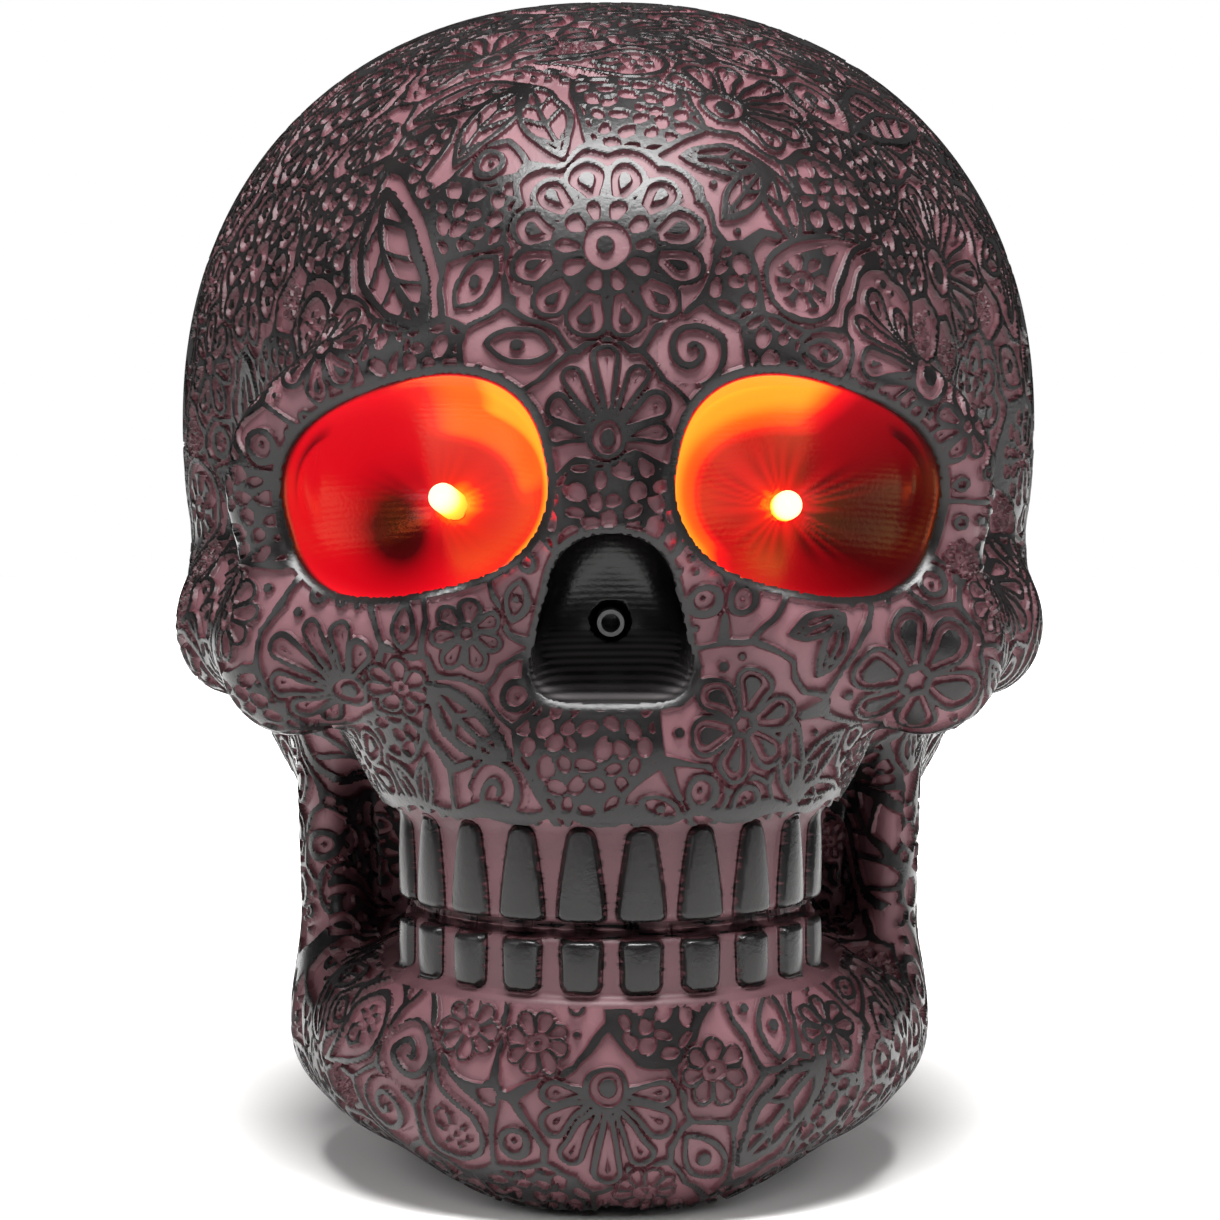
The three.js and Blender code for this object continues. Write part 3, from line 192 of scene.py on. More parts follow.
def lump(p, centre, radii, power=2.0):
    """Distance to an egg, or with a higher power to a squarer one."""
    q = np.abs((p - centre) / np.array(radii)) ** power
    return (q.sum(axis=1) ** (1 / power) - 1) * min(radii)


def stick(p, start, end, thick, flat=(1, 1, 1)):
    """Distance to a round stick that tapers from one radius to another, flattened along the axes."""
    q = (p - start) / np.array(flat)
    along = (np.array(end, float) - start) / np.array(flat)
    t = np.clip(q @ along / (along @ along), 0, 1)
    off = q - t[:, None] * along
    return (np.sqrt((off * off).sum(axis=1)) - thick[0] - (thick[1] - thick[0]) * t) * min(flat)


def drum(p, centre, radii, low, high, edge, power=2.0, swell=0.0):
    """Distance to an upright oval drum with rounded edges, swollen where its side carries teeth."""
    across = np.abs((p[:, 0] - centre[0]) / radii[0]) ** power
    gauge = across + np.abs((p[:, 1] - centre[1]) / radii[1]) ** power
    side = (gauge ** (1 / power) - 1) * min(radii) + edge - swell
    up = np.abs(p[:, 2] - (low + high) / 2) - (high - low) / 2 + edge
    return np.minimum(np.maximum(side, up), 0) + np.hypot(np.maximum(side, 0), np.maximum(up, 0)) - edge


def ease(low, high, value):
    """A smooth step from 0 to 1 between two values."""
    t = np.clip((value - low) / (high - low), 0, 1)
    return t * t * (3 - 2 * t)


def unit(v):
    """A vector at length one."""
    v = np.array(v, float)
    return v / np.sqrt(v @ v)


# Sockets: bowls with a rounded-square mouth that hangs at its outer end and flares outwards.
EYE_MOUTH = np.array((33.2, -71.0, 121.7))
EYE_HALF = (22.5, 16.9)
EYE_DEPTH = 34.0
EYE_ROLL = math.radians(-12)
EYE_POWER = 2.5
EYE_FLARE, EYE_REACH = 0.12, 22.0
eye_back = unit((-3.2, 30, -5))
eye_side = unit(np.cross(eye_back, (0, 0, 1)))
eye_up = np.cross(eye_side, eye_back)
eye_across = math.cos(EYE_ROLL) * eye_side + math.sin(EYE_ROLL) * eye_up
eye_rise = math.cos(EYE_ROLL) * eye_up - math.sin(EYE_ROLL) * eye_side


def eye_place(p):
    """Place in the nearer socket: across and up its mouth as shares of the half sizes, and depth in mm."""
    q = np.column_stack((np.abs(p[:, 0]), p[:, 1], p[:, 2])) - EYE_MOUTH
    axial = q @ eye_back
    flare = 1 + EYE_FLARE * np.clip(-axial / EYE_REACH, 0, 1)
    return q @ eye_across / EYE_HALF[0] / flare, q @ eye_rise / EYE_HALF[1] / flare, axial


def socket(p):
    """Distance to the hollow of the nearer socket."""
    u, v, axial = eye_place(p)
    mouth = (np.abs(u) ** EYE_POWER + np.abs(v) ** EYE_POWER) ** (1 / EYE_POWER)
    return (np.hypot(mouth, np.maximum(axial, 0) / EYE_DEPTH) - 1) * EYE_HALF[1]


RIM_HALF, RIM_TUBE, RIM_POWER = (25.5, 20.0), 5.0, 2.3
RIM_BEHIND = (0, 4.5, 0)
rim_across = unit((0.94, 0.34, 0))
rim_up = np.array((-0.05, -0.16, 1.0))
rim_up = unit(rim_up - rim_up @ rim_across * rim_across)
rim_out = np.cross(rim_across, rim_up)


def eye_rim(p):
    """Distance to the ring of bone round a socket."""
    q = p - (EYE_MOUTH + RIM_BEHIND)
    u = math.cos(EYE_ROLL) * (q @ rim_across) + math.sin(EYE_ROLL) * (q @ rim_up)
    v = math.cos(EYE_ROLL) * (q @ rim_up) - math.sin(EYE_ROLL) * (q @ rim_across)
    gauge = (np.abs(u / RIM_HALF[0]) ** RIM_POWER + np.abs(v / RIM_HALF[1]) ** RIM_POWER) ** (1 / RIM_POWER)
    return np.hypot((gauge - 1) * RIM_HALF[1], q @ rim_out) - RIM_TUBE


NOSE_LOW, NOSE_HIGH = 87.5, 116.4
NOSE_WIDE, NOSE_NARROW = 15.2, 8.2  # half widths at the sill and at the top
NOSE_BACK_Y, NOSE_ROUND, NOSE_LEAN = -57.0, 9, 0.96
SILL_FRONT_Y, SILL_RUN, SILL_RISE = -84, 26, 5.5  # the sill climbs towards the back


def nostril(p):
    """Distance to the nose, a tapered opening that narrows upwards."""
    x, y, z = np.abs(p[:, 0]), p[:, 1], p[:, 2]
    sill = NOSE_LOW + SILL_RISE * np.clip((y - SILL_FRONT_Y) / SILL_RUN, 0, 1.2)
    share = np.clip((z - NOSE_LOW) / (NOSE_HIGH - NOSE_LOW), -0.2, 1.2)
    side = (x - NOSE_WIDE - (NOSE_NARROW - NOSE_WIDE) * share) * NOSE_LEAN
    d = soft_max(side, z - NOSE_HIGH, NOSE_ROUND)
    d = soft_max(d, sill - z, NOSE_ROUND)
    return soft_max(d, y - NOSE_BACK_Y, NOSE_ROUND)


# Teeth: black slabs on a recessed core round the dental arch.
BITE_Z = 49.7
ARCH_Y = -44.0
CORE_RADII = (34.9, 37.9)
GUM_RADII = (36.5, 39.5)
TEETH_PER_SIDE = 5
FIRST_TOOTH, TOOTH_PITCH = math.radians(8.2), math.radians(16.8)
UPPER_TOOTH, LOWER_TOOTH = (50.6, 67.2), (39.0, 48.8)
UPPER_WIDTHS, LOWER_WIDTHS = (8.8, 4.4), (7.2, 7.8)  # at the lower and at the upper end
TOOTH_STAND = 1.9
TOOTH_CORNER = 2.0


def tooth_edge(p, row, widths):
    """Distance on the arch to the nearest tooth's outline, less than nothing on the tooth, and its swell."""
    t = np.abs(np.arctan2(p[:, 0] / CORE_RADII[0], -(p[:, 1] - ARCH_Y) / CORE_RADII[1]))
    i = np.clip(np.round((t - FIRST_TOOTH) / TOOTH_PITCH), 0, TEETH_PER_SIDE - 1)
    centre = FIRST_TOOTH + i * TOOTH_PITCH
    reach = np.hypot(CORE_RADII[0] * np.cos(centre), CORE_RADII[1] * np.sin(centre))
    along = np.abs(t - centre) * reach
    middle, half = (row[0] + row[1]) / 2, (row[1] - row[0]) / 2
    height = p[:, 2] - middle
    share = np.clip(height / half, -1, 1) * 0.5 + 0.5
    width = widths[0] + (widths[1] - widths[0]) * share**1.6
    a = along - width / 2 + TOOTH_CORNER
    b = np.abs(height) - half + TOOTH_CORNER
    edge = np.hypot(np.maximum(a, 0), np.maximum(b, 0)) + np.minimum(np.maximum(a, b), 0) - TOOTH_CORNER
    dome = np.clip(1 - (2 * along / width) ** 2, 0, 1) * (1 - 0.4 * np.clip(height / half, -1, 1) ** 2)
    return edge, TOOTH_STAND * (0.55 + 0.45 * dome) * ease(0.3, -1.1, edge)


def upper_teeth(p):
    return tooth_edge(p, UPPER_TOOTH, UPPER_WIDTHS)


def lower_teeth(p):
    return tooth_edge(p, LOWER_TOOTH, LOWER_WIDTHS)


BASE_CENTRE, BASE_POWER, FLAT_Z = (0, -8), 2.3, 1.5


def bone(p):
    """Distance to the skull before its sockets and nose are cut: each lump, and how softly it joins."""
    p = np.column_stack((np.abs(p[:, 0]), p[:, 1], p[:, 2]))
    d = lump(p, (0, 15.4, 126), (74.5, 70, 74), 2.2)  # brain case
    d = soft_min(d, lump(p, (0, -20, 139), (57.5, 61, 56), 2.15), 12)  # forehead
    d = soft_min(d, lump(p, (0, -40, 102), (48, 41, 48)), 14)  # middle of the face
    d = soft_max(d, -lump(p, (84, -43, 122), (26, 32, 42)), 7)  # hollow of the temple
    d = soft_min(d, eye_rim(p), 11)
    d = soft_min(d, stick(p, (30, -70, 98), (53, -56, 94), (9, 11)), 10)  # cheekbone
    d = soft_min(d, stick(p, (54, -54, 93.5), (65.4, -14, 93.5), (11, 8.5), (0.75, 1, 1)), 8)  # cheek arch
    d = soft_min(d, stick(p, (65.4, -14, 93.5), (65, 8, 96), (8.5, 8.5), (0.9, 1, 1)), 8)  # its rear end
    d = soft_min(d, stick(p, (0, -74, 134), (0, -82, 115), (7, 6.5)), 12)  # bridge of the nose
    d = soft_min(d, lump(p, (0, -48, 78), (38, 36, 27)), 10)  # upper jaw
    d = soft_min(d, drum(p, (0, ARCH_Y), GUM_RADII, 68, 84, 4), 3)  # upper gum
    d = soft_min(d, drum(p, (0, 4), (35, 41), -20, 100, 8), 10)  # column down to the base
    d = soft_min(d, stick(p, (47, -14, 24), (49.5, -6, 90), (6.5, 6), (0.8, 2, 1)), 7)  # branch of the jaw
    d = soft_min(d, lump(p, (0, 6, 58), (46, 30, 50)), 8)  # wall between the branches
    d = soft_min(d, lump(p, (46, 18, 84), (13, 17, 21)), 12)  # knob behind the ear
    d = soft_min(d, lump(p, (0, -22, 24), (52, 57, 22), 2.3), 7)  # body of the jaw
    d = soft_min(d, lump(p, (0, -50, 27), (38, 31, 18)), 8)  # its front
    d = soft_min(d, lump(p, (0, -62, 15), (27, 19, 16)), 9)  # chin
    d = soft_min(d, drum(p, (0, ARCH_Y), GUM_RADII, 24, 38.5, 1.5), 3)  # lower gum
    d = soft_min(d, drum(p, BASE_CENTRE, (34, 48), FLAT_Z, 22, 4, BASE_POWER), 5)  # rim that it stands on
    d = soft_min(d, drum(p, (0, ARCH_Y), CORE_RADII, 51, 84, 1.5, swell=upper_teeth(p)[1]), 0.8)
    d = soft_min(d, drum(p, (0, ARCH_Y), CORE_RADII, 24, 48.6, 1.5, swell=lower_teeth(p)[1]), 0.8)
    return d


# Holes that the lamps, the sensor and the base plate sit in.
LED_HOLE = 2.8
BORE_DEPTH = 12.0
SENSOR_HOLE, SENSOR_Z = 3.3, 98.6
BASE_OPENING, BASE_DEEP, BASE_TOP = (27.5, 41.5), -30, 36.0
eye_floor = EYE_MOUTH + EYE_DEPTH * eye_back


def bored(p, start, way, radius):
    """Distance to a blind round hole, BORE_DEPTH deep, that starts at a point and runs one way."""
    q = p - start
    along = q @ way
    side = np.sqrt(np.maximum((q * q).sum(axis=1) - along * along, 0)) - radius
    return np.maximum(side, np.maximum(-along - 2, along - BORE_DEPTH))


# The left lamp sits off the middle of its socket and leans.
LEFT_OFF = (3.4, 0, 0)
LEAN, LEAN_AXIS = math.radians(-24), np.array((0.6, 0, 0.8))


def turned(v, axis, angle):
    """A vector turned about an axis."""
    along = axis * (axis @ v) * (1 - math.cos(angle))
    return v * math.cos(angle) + np.cross(axis, v) * math.sin(angle) + along


left_floor = eye_floor * (-1, 1, 1) + LEFT_OFF
left_out = turned(-eye_back * (-1, 1, 1), LEAN_AXIS, LEAN)


def base_well(p):
    """Distance to the room for the base plate and what it carries."""
    return drum(p, BASE_CENTRE, BASE_OPENING, BASE_DEEP, BASE_TOP, 3, BASE_POWER)


LIP_ROUND, FLAT_ROUND, WELL_ROUND = 2.5, 1.5, 0.6  # how softly the edges of the cuts are rounded


def casting(p):
    """Distance to the finished casting, in the sculpt's own millimetres."""
    d = soft_max(bone(p), -socket(p), LIP_ROUND)
    d = soft_max(d, -nostril(p), LIP_ROUND)
    d = np.maximum(d, -bored(p, eye_floor, eye_back, LED_HOLE))
    d = np.maximum(d, -bored(p, left_floor, -left_out, LED_HOLE))
    d = np.maximum(d, -bored(p, np.array((0, NOSE_BACK_Y, SENSOR_Z)), np.array((0, 1.0, 0)), SENSOR_HOLE))
    d = soft_max(d, FLAT_Z - p[:, 2], FLAT_ROUND)
    return soft_max(d, -base_well(p), WELL_ROUND)


def slope(p, field, step=0.08):
    """The field and its unit gradient at points, from four taps."""
    total, way = 0, 0
    for tap in ((1, 1, 1), (1, -1, -1), (-1, 1, -1), (-1, -1, 1)):
        value = field(p + step * np.array(tap))
        total = total + value
        way = way + value[:, None] * tap
    way = way / np.maximum(np.sqrt((way * way).sum(axis=1)), 1e-9)[:, None]
    return total / 4, way


SETTLE_STEP = 1.5


def settle(p, field, rounds):
    """Points moved onto the surface in short steps."""
    for _ in range(rounds):
        value, way = slope(p, field)
        p = p - np.clip(value, -SETTLE_STEP, SETTLE_STEP)[:, None] * way
    return p


def points_of(mesh):
    """A mesh's points in the sculpt's millimetres."""
    flat = np.empty(len(mesh.vertices) * 3, np.float64)
    mesh.vertices.foreach_get("co", flat)
    return flat.reshape(-1, 3) / MM - (0, SHIFT_Y, 0)


def put_points(mesh, p):
    """Moves a mesh's points to places in the sculpt's millimetres."""
    mesh.vertices.foreach_set("co", ((p + (0, SHIFT_Y, 0)) * MM).ravel())
    mesh.update()


def remeshed(mesh, voxel):
    """The mesh as even quads, by a voxel Remesh that is applied at once."""
    holder = bpy.data.objects.new("remesh", mesh)
    bpy.context.scene.collection.objects.link(holder)
    modifier = holder.modifiers.new("remesh", "REMESH")
    modifier.mode = "VOXEL"
    modifier.voxel_size = voxel * MM
    result = bpy.data.meshes.new_from_object(holder.evaluated_get(bpy.context.evaluated_depsgraph_get()))
    bpy.data.objects.remove(holder)
    return result


# A ball shrunk onto the sculpt from all round, then made even and settled into the sockets, nose and base.
HEART = np.array((0, -4.0, 98))
FAR_OUT, SHRINK_ROUNDS, SHRINK_SHARE = 140.0, 70, 0.7
ROUGH_VOXEL, ROUGH_ROUNDS, SETTLE_ROUNDS = 1.6, 3, 6
base = bpy.data.meshes.new("base")
bm = bmesh.new()
bmesh.ops.create_icosphere(bm, subdivisions=6, radius=1.0)
bm.to_mesh(base)
bm.free()
ways = points_of(base) * MM + (0, SHIFT_Y * MM, 0)
ways /= np.sqrt((ways * ways).sum(axis=1))[:, None]
reach = np.full(len(ways), FAR_OUT)
for _ in range(SHRINK_ROUNDS):
    reach = reach - np.maximum(casting(HEART + ways * reach[:, None]), 0) * SHRINK_SHARE
put_points(base, HEART + ways * reach[:, None])
for _ in range(ROUGH_ROUNDS):
    base = remeshed(base, ROUGH_VOXEL)
    put_points(base, settle(points_of(base), casting, SETTLE_ROUNDS))


TEETH_ROWS, TEETH_BACK_Y = (37.4, 67.7), ARCH_Y + 8
TOOTH_FACE, TOOTH_BAND = 0.8, 3.2  # how far the teeth's faces lie outside the core, give or take the band
CUT_DEPTH, CUT_WALL = 0.6, 2.0  # points this deep in the bone and this near a hollow's wall lie in the hollow
UNDERSIDE_Z, WELL_WALL = 2.4, 1.5


def zones(p):
    """How deep points lie in the uncut bone, and which lie in a socket, the nose, the teeth or underneath."""
    carved = -bone(p)
    in_socket = (carved > CUT_DEPTH) & (np.abs(socket(p)) < CUT_WALL)
    in_nose = (carved > CUT_DEPTH) & (np.abs(nostril(p)) < CUT_WALL)
    arch_out = (np.hypot(p[:, 0] / CORE_RADII[0], (p[:, 1] - ARCH_Y) / CORE_RADII[1]) - 1) * CORE_RADII[0]
    in_rows = (p[:, 2] > TEETH_ROWS[0]) & (p[:, 2] < TEETH_ROWS[1]) & (p[:, 1] < TEETH_BACK_Y)
    on_teeth = (np.abs(arch_out - TOOTH_FACE) < TOOTH_BAND) & in_rows
    underside = (p[:, 2] < UNDERSIDE_Z) | (base_well(p) < WELL_WALL)
    return carved, in_socket, in_nose, on_teeth, underside


# Ornament
# Raised lines and fields cast with the skull, in the manner of traditional rosettes, leaves, drops and
# fans: large motifs first, smaller ones fitted round them, and pits and beads in the ground that is left.
def line(distance, width):
    """A raised line of some width along the places where a distance is nothing."""
    return width / 2 - np.abs(distance)


def drop(u, v, foot, tip, length):
    """Distance to a drop along +u: a round foot of one radius and a tip of another."""
    v = np.abs(v)
    b = (foot - tip) / length
    a = math.sqrt(max(1 - b * b, 0.01))
    along = v * -b + u * a
    side = v * a + u * b - foot
    past_foot = np.where(along > a * length, np.hypot(u - length, v) - tip, side)
    return np.where(along < 0, np.hypot(u, v) - foot, past_foot)


def lens(u, v, length, width):
    """Distance to a pointed leaf that runs along +u from the origin."""
    arc = (length * length + width * width) / (4 * width)
    return np.hypot(u - length / 2, np.abs(v) + arc - width / 2) - arc


def fold(u, v, count, turn=0.0):
    """Points folded into one of count equal wedges about +u."""
    wedge = 2 * math.pi / count
    angle = np.arctan2(v, u) + turn
    angle = np.mod(angle + wedge / 2, wedge) - wedge / 2
    radius = np.hypot(u, v)
    return radius * np.cos(angle), radius * np.sin(angle)


def turned_to(u, v, angle):
    """Points seen from axes turned by an angle."""
    return u * math.cos(angle) + v * math.sin(angle), v * math.cos(angle) - u * math.sin(angle)


# Each motif gives its raised field and the distance to its outer edge. Numbers beside r are shares of the
# motif's radius, the others are line widths and gaps in millimetres.
def rosette(u, v, r, draw):
    """A ring of outlined petals with solid hearts round a pierced disc."""
    count = max(8, int(round(2 * math.pi * 0.78 * r / 7.0)))
    rho = np.hypot(u, v)
    inner = np.abs(rho - 0.16 * r) - max(0.065 * r, 0.7)
    a, b = fold(u, v, max(7, int(round(2 * math.pi * 0.37 * r / 4.0))))
    inner = np.minimum(inner, drop(a - 0.32 * r, b, 0.75, 1.2, 0.08 * r))
    a, b = fold(u, v, count, math.pi / count)
    half = math.pi * 0.8 * r / count
    petal = drop(a - 0.56 * r, b, half * 0.5, half * 0.9, 0.38 * r - half * 0.9)
    outer = np.maximum(line(petal, 1.3), -petal - 1.95)
    outer = np.maximum(outer, 0.53 * r - rho)
    return np.where(rho < 0.5 * r, inner, outer), np.minimum(petal - 0.6, rho - 0.6 * r)


def hole_flower(u, v, r, draw):
    """A solid flower, each petal pierced by a drop."""
    count = int(draw.integers(7, 10))
    rho = np.hypot(u, v)
    a, b = fold(u, v, count)
    lobe = math.pi * 0.7 * r / count
    body = np.minimum(rho - 0.7 * r, np.hypot(a - 0.7 * r, b) - lobe * 1.1)
    hole = drop(a - 0.45 * r, b, 0.35 * lobe, 0.62 * lobe, 0.25 * r)
    heart = np.abs(rho - 0.2 * r) - 0.055 * r - 0.2
    return np.minimum(np.minimum(-body, hole), heart), body


def daisy(u, v, r, draw):
    """Outlined petals round a ringed dot."""
    count = int(draw.integers(6, 9))
    a, b = fold(u, v, count, draw.uniform(0, 1))
    half = math.pi * 0.64 * r / count
    petal = drop(a - 0.36 * r, b, half * 0.5, half * 0.92, 0.4 * r)
    rho = np.hypot(u, v)
    field = np.maximum(line(petal, 1.15), -petal - 1.4)
    return np.maximum(field, np.maximum(line(rho - 0.24 * r, 1.2), 0.09 * r - rho)), petal - 0.6


def leaves(u, v, r, draw):
    """Two or three veined leaves from one foot."""
    field = np.full(len(u), -3.0)
    outer = np.full(len(u), 9.0)
    count = 2 if r < 7 else 3
    for i in range(count):
        angle = (i - (count - 1) / 2) * math.radians(54)
        lu, lv = turned_to(u + 0.8 * r, v, angle)
        edge = lens(lu, lv, 1.7 * r, 0.66 * r)
        veins = np.maximum(line(lv, 1.1), line(np.mod(lu + 1.1 * np.abs(lv), 5.2) - 2.6, 1.3))
        field = np.maximum(field, np.maximum(line(edge, 1.35), np.minimum(-edge - 0.5, veins)))
        outer = np.minimum(outer, edge - 0.65)
    return field, outer


def long_leaf(u, v, r, draw):
    """One bent leaf with veins in outline."""
    bend = v + 0.2 * (u * u / r - 0.4 * r)
    edge = lens(u + 0.97 * r, bend, 1.94 * r, 0.78 * r)
    veins = line(np.mod(u + 0.95 * np.abs(bend), 6.0) - 3.0, 1.45)
    inside = np.maximum(line(bend, 1.6), np.minimum(veins, 0.62 * r * 0.5 - np.abs(bend)))
    field = np.where(edge < -0.5, np.maximum(inside, edge + 1.1), np.maximum(line(edge, 1.4), edge + 1.1))
    return field, edge - 0.7


def paisley(u, v, r, draw):
    """A solid bent drop with a bare line inside its edge and a pierced flower at its heart."""
    w = v + 0.5 * np.maximum(u + 0.25 * r, 0) ** 2 / r
    x = u + 0.36 * r
    body = drop(x, w, 0.52 * r, 0.05 * r, 1.12 * r)
    rho = np.hypot(x, w)
    count = max(6, int(round(2 * math.pi * 0.27 * r / 3.7)))
    a, b = fold(x, w, count)
    hole = drop(a - 0.21 * r, b, 0.65, 1.1, 0.07 * r)
    heart = np.abs(rho - 0.1 * r) - 0.6
    slit = drop(x - 0.55 * r, w, 1.0, 0.5, 0.3 * r)
    core = np.minimum(np.minimum(hole, heart), slit)
    field = np.minimum(np.minimum(-body, np.abs(body + 2.1) - 0.7), np.where(body < -2.7, core, 9))
    return field, body


def palmette(u, v, r, draw):
    """A fan of seven drops over a ringed dot."""
    field = np.full(len(u), -3.0)
    outer = np.full(len(u), 9.0)
    x = u + 0.62 * r
    for i in range(7):
        lu, lv = turned_to(x, v, math.radians(-84 + 28 * i))
        length = r * (1.2, 1.02, 0.84, 0.68)[abs(i - 3)]
        edge = drop(lu - 0.4 * r, lv, 0.05 * r, 0.185 * r, length - 0.28 * r)
        field = np.maximum(field, np.maximum(line(edge, 1.2), -edge - 1.65))
        outer = np.minimum(outer, edge - 0.6)
    rho = np.hypot(x, v)
    field = np.maximum(field, np.maximum(line(rho - 0.3 * r, 1.2), 0.15 * r - rho))
    return field, np.minimum(outer, rho - 0.3 * r - 0.6)


def curl(u, v, r, draw):
    """A spiral line, left or right handed."""
    hand = draw.choice([-1, 1])
    rho = np.hypot(u, v)
    gap = 3.4
    turn = rho - gap * np.arctan2(hand * v, u) / (2 * math.pi)
    field = 0.75 - np.abs(np.mod(turn, gap) - gap / 2)
    return np.where(rho < 0.95 * r, field, 0.95 * r - rho), rho - r


def sunburst(u, v, r, draw):
    """A solid disc with two rings of pits."""
    rho = np.hypot(u, v)
    field = np.abs(rho - 0.2 * r) - 0.7
    a, b = fold(u, v, max(8, int(round(2 * math.pi * 0.5 * r / 3.1))))
    field = np.minimum(field, drop(a - 0.4 * r, b, 0.55, 0.95, 0.2 * r))
    a, b = fold(u, v, max(9, int(round(2 * math.pi * 0.86 * r / 3.7))))
    return np.minimum(field, np.hypot(a - 0.86 * r, b) - 1.1), rho - r


def net(u, v, r, draw):
    """A solid field with rows of uneven oval pits."""
    pitch = 3.8
    row = np.round(v / (pitch * 0.86))
    shift = np.mod(row, 2) * 0.5
    column = np.round(u / pitch - shift)
    salt = np.sin(row * 12.9898 + column * 78.233) * 43758.5453
    salt = salt - np.floor(salt)
    du = u - (column + shift + 0.3 * (salt - 0.5)) * pitch
    dv = v - (row + 0.3 * (np.mod(salt * 7.3, 1) - 0.5)) * pitch * 0.86
    du, dv = du * np.cos(salt * 6) + dv * np.sin(salt * 6), dv * np.cos(salt * 6) - du * np.sin(salt * 6)
    return np.hypot(du * 0.72, dv) - 0.85 - 0.45 * np.mod(salt * 3.1, 1), np.hypot(u, v) - r


def scales(u, v, r, draw):
    """Rows of arcs, each over a bead."""
    pitch = 5.8
    field = np.full(len(u), -3.0)
    for half in (0, 1):
        row = np.floor(v / pitch) + half
        du = np.mod(u / pitch + 0.5 * np.mod(row, 2) + 0.5, 1) - 0.5
        rho = np.hypot(du * pitch, (v - row * pitch) * 0.9)
        bead = 0.95 - np.hypot(du * pitch, v - row * pitch + 0.2 * pitch)
        ring = np.maximum(line(rho - 0.52 * pitch, 1.3), bead)
        field = np.maximum(field, np.where(v < row * pitch + 0.3, ring, -3))
    return field, np.hypot(u, v) - r


def ring_dot(u, v, r, draw):
    """A ring round a dot."""
    rho = np.hypot(u, v)
    return np.maximum(line(rho - 0.66 * r, 0.42 * r), 0.15 * r - rho), rho - 0.88 * r


def eyelet(u, v, r, draw):
    """A pointed oval round a dot."""
    edge = lens(u + 0.95 * r, v, 1.9 * r, 1.0 * r)
    return np.maximum(line(edge, 1.25), 0.22 * r - np.hypot(u, v)), edge - 0.6


# Ground round each motif: 1 a black field past a bare line, -1 bare mauve, 0 its own pattern carried on.
GROUND = {
    rosette: 1, hole_flower: -1, daisy: -1, leaves: -1, long_leaf: 1, paisley: 1, palmette: -1,
    curl: -1, sunburst: 0, net: 0, scales: 0, ring_dot: -1, eyelet: -1,
}
MOAT = 1.8  # the bare line round a motif on black ground
SEAM = 1.25  # the raised line where two motifs' grounds meet


class Motif:
    """One motif in its tangent plane."""

    def __init__(self, centre, way, r, kind, turn, seed, ground=None):
        self.centre, self.way, self.r, self.kind, self.turn, self.seed = centre, way, r, kind, turn, seed
        self.ground = GROUND[kind] if ground is None else ground
        right = np.cross((0, 0, 1.0), way)
        self.right = unit(right) if right @ right > 1e-4 else np.array((1.0, 0, 0))
        self.above = np.cross(way, self.right)

    def near(self, points, normals, reach):
        """Which points lie within reach and face the same way."""
        box = np.flatnonzero(np.abs(points - self.centre).max(axis=1) < reach)
        return box[(normals[box] @ self.way) > 0.05]

    def drawn(self, points):
        """The motif's field and edge at points, on flat places stretched to keep true distances."""
        offset = points - self.centre
        x, y = offset @ self.right, offset @ self.above
        far = np.sqrt((offset * offset).sum(axis=1))
        stretch = np.minimum(far / np.maximum(np.hypot(x, y), 1e-6), 1.6)
        u, v = turned_to(x * stretch, y * stretch, self.turn)
        return self.kind(u, v, self.r, np.random.default_rng(self.seed))


def wobble(points, size, length):
    """Points moved a little, so that lines look cut by hand."""
    q = points * (2 * math.pi / length)
    waves = [np.sin(q[:, i] * 1.1 + 2 * np.sin(q[:, j] * 0.7 + i)) for i, j in ((0, 1), (1, 2), (2, 0))]
    return points + size * np.column_stack(waves)


HAND_SIZE, HAND_LENGTH = 0.28, 11.0
NO_MOTIF, MOTIF_REACH = 14.0, 11


def ornament(points, normals, motifs):
    """Raised field, distance to the owner's edge, distance to the seam and the ground, for points."""
    points = wobble(points, HAND_SIZE, HAND_LENGTH)
    best = np.full(len(points), NO_MOTIF)
    second = np.full(len(points), NO_MOTIF)
    field = np.full(len(points), -1.0)
    ground = np.full(len(points), -1.0)
    for motif in motifs:
        near = motif.near(points, normals, motif.r + MOTIF_REACH)
        drawn, edge = motif.drawn(points[near])
        better = edge < best[near]
        second[near] = np.where(better, best[near], np.minimum(second[near], edge))
        won = near[better]
        best[won] = edge[better]
        ground[won] = motif.ground
        field[won] = drawn[better]
    seam = np.minimum((second - best) / 2, 9)
    outside = np.where(ground > 0, best - MOAT, np.where(ground < 0, -best, field))
    field = np.where(best < 0, field, outside)
    divide = np.minimum(SEAM / 2 - seam, best + 9 * (ground == 0) - 0.3)
    return np.maximum(field, divide), best, seam, ground


def dotted(field, far, radius, ground):
    """The field with pits in black ground and beads or rings on bare ground."""
    pit = far - 0.8 * radius
    bead = np.minimum(0.68 * radius - far, np.where(radius > 1.6, far - 0.22 * radius, 9))
    return np.where(ground > 0, np.minimum(field, pit), np.where(ground < 0, np.maximum(field, bead), field))


p = points_of(base)
_, normal = slope(p, casting)
_, in_socket, in_nose, on_teeth, underside = zones(p)
bare = in_socket | in_nose | on_teeth | underside
free_points = np.flatnonzero(~bare)
bare_tree = kdtree.KDTree(int(bare.sum()))
for spot in p[bare]:
    bare_tree.insert(spot, 0)
bare_tree.balance()
draw = np.random.default_rng(31)
motifs = []


def put_motif(k, r, kind, turn):
    """Adds a motif at a point of the rough skin."""
    motifs.append(Motif(p[k], normal[k], r, kind, turn, len(motifs) + 11))


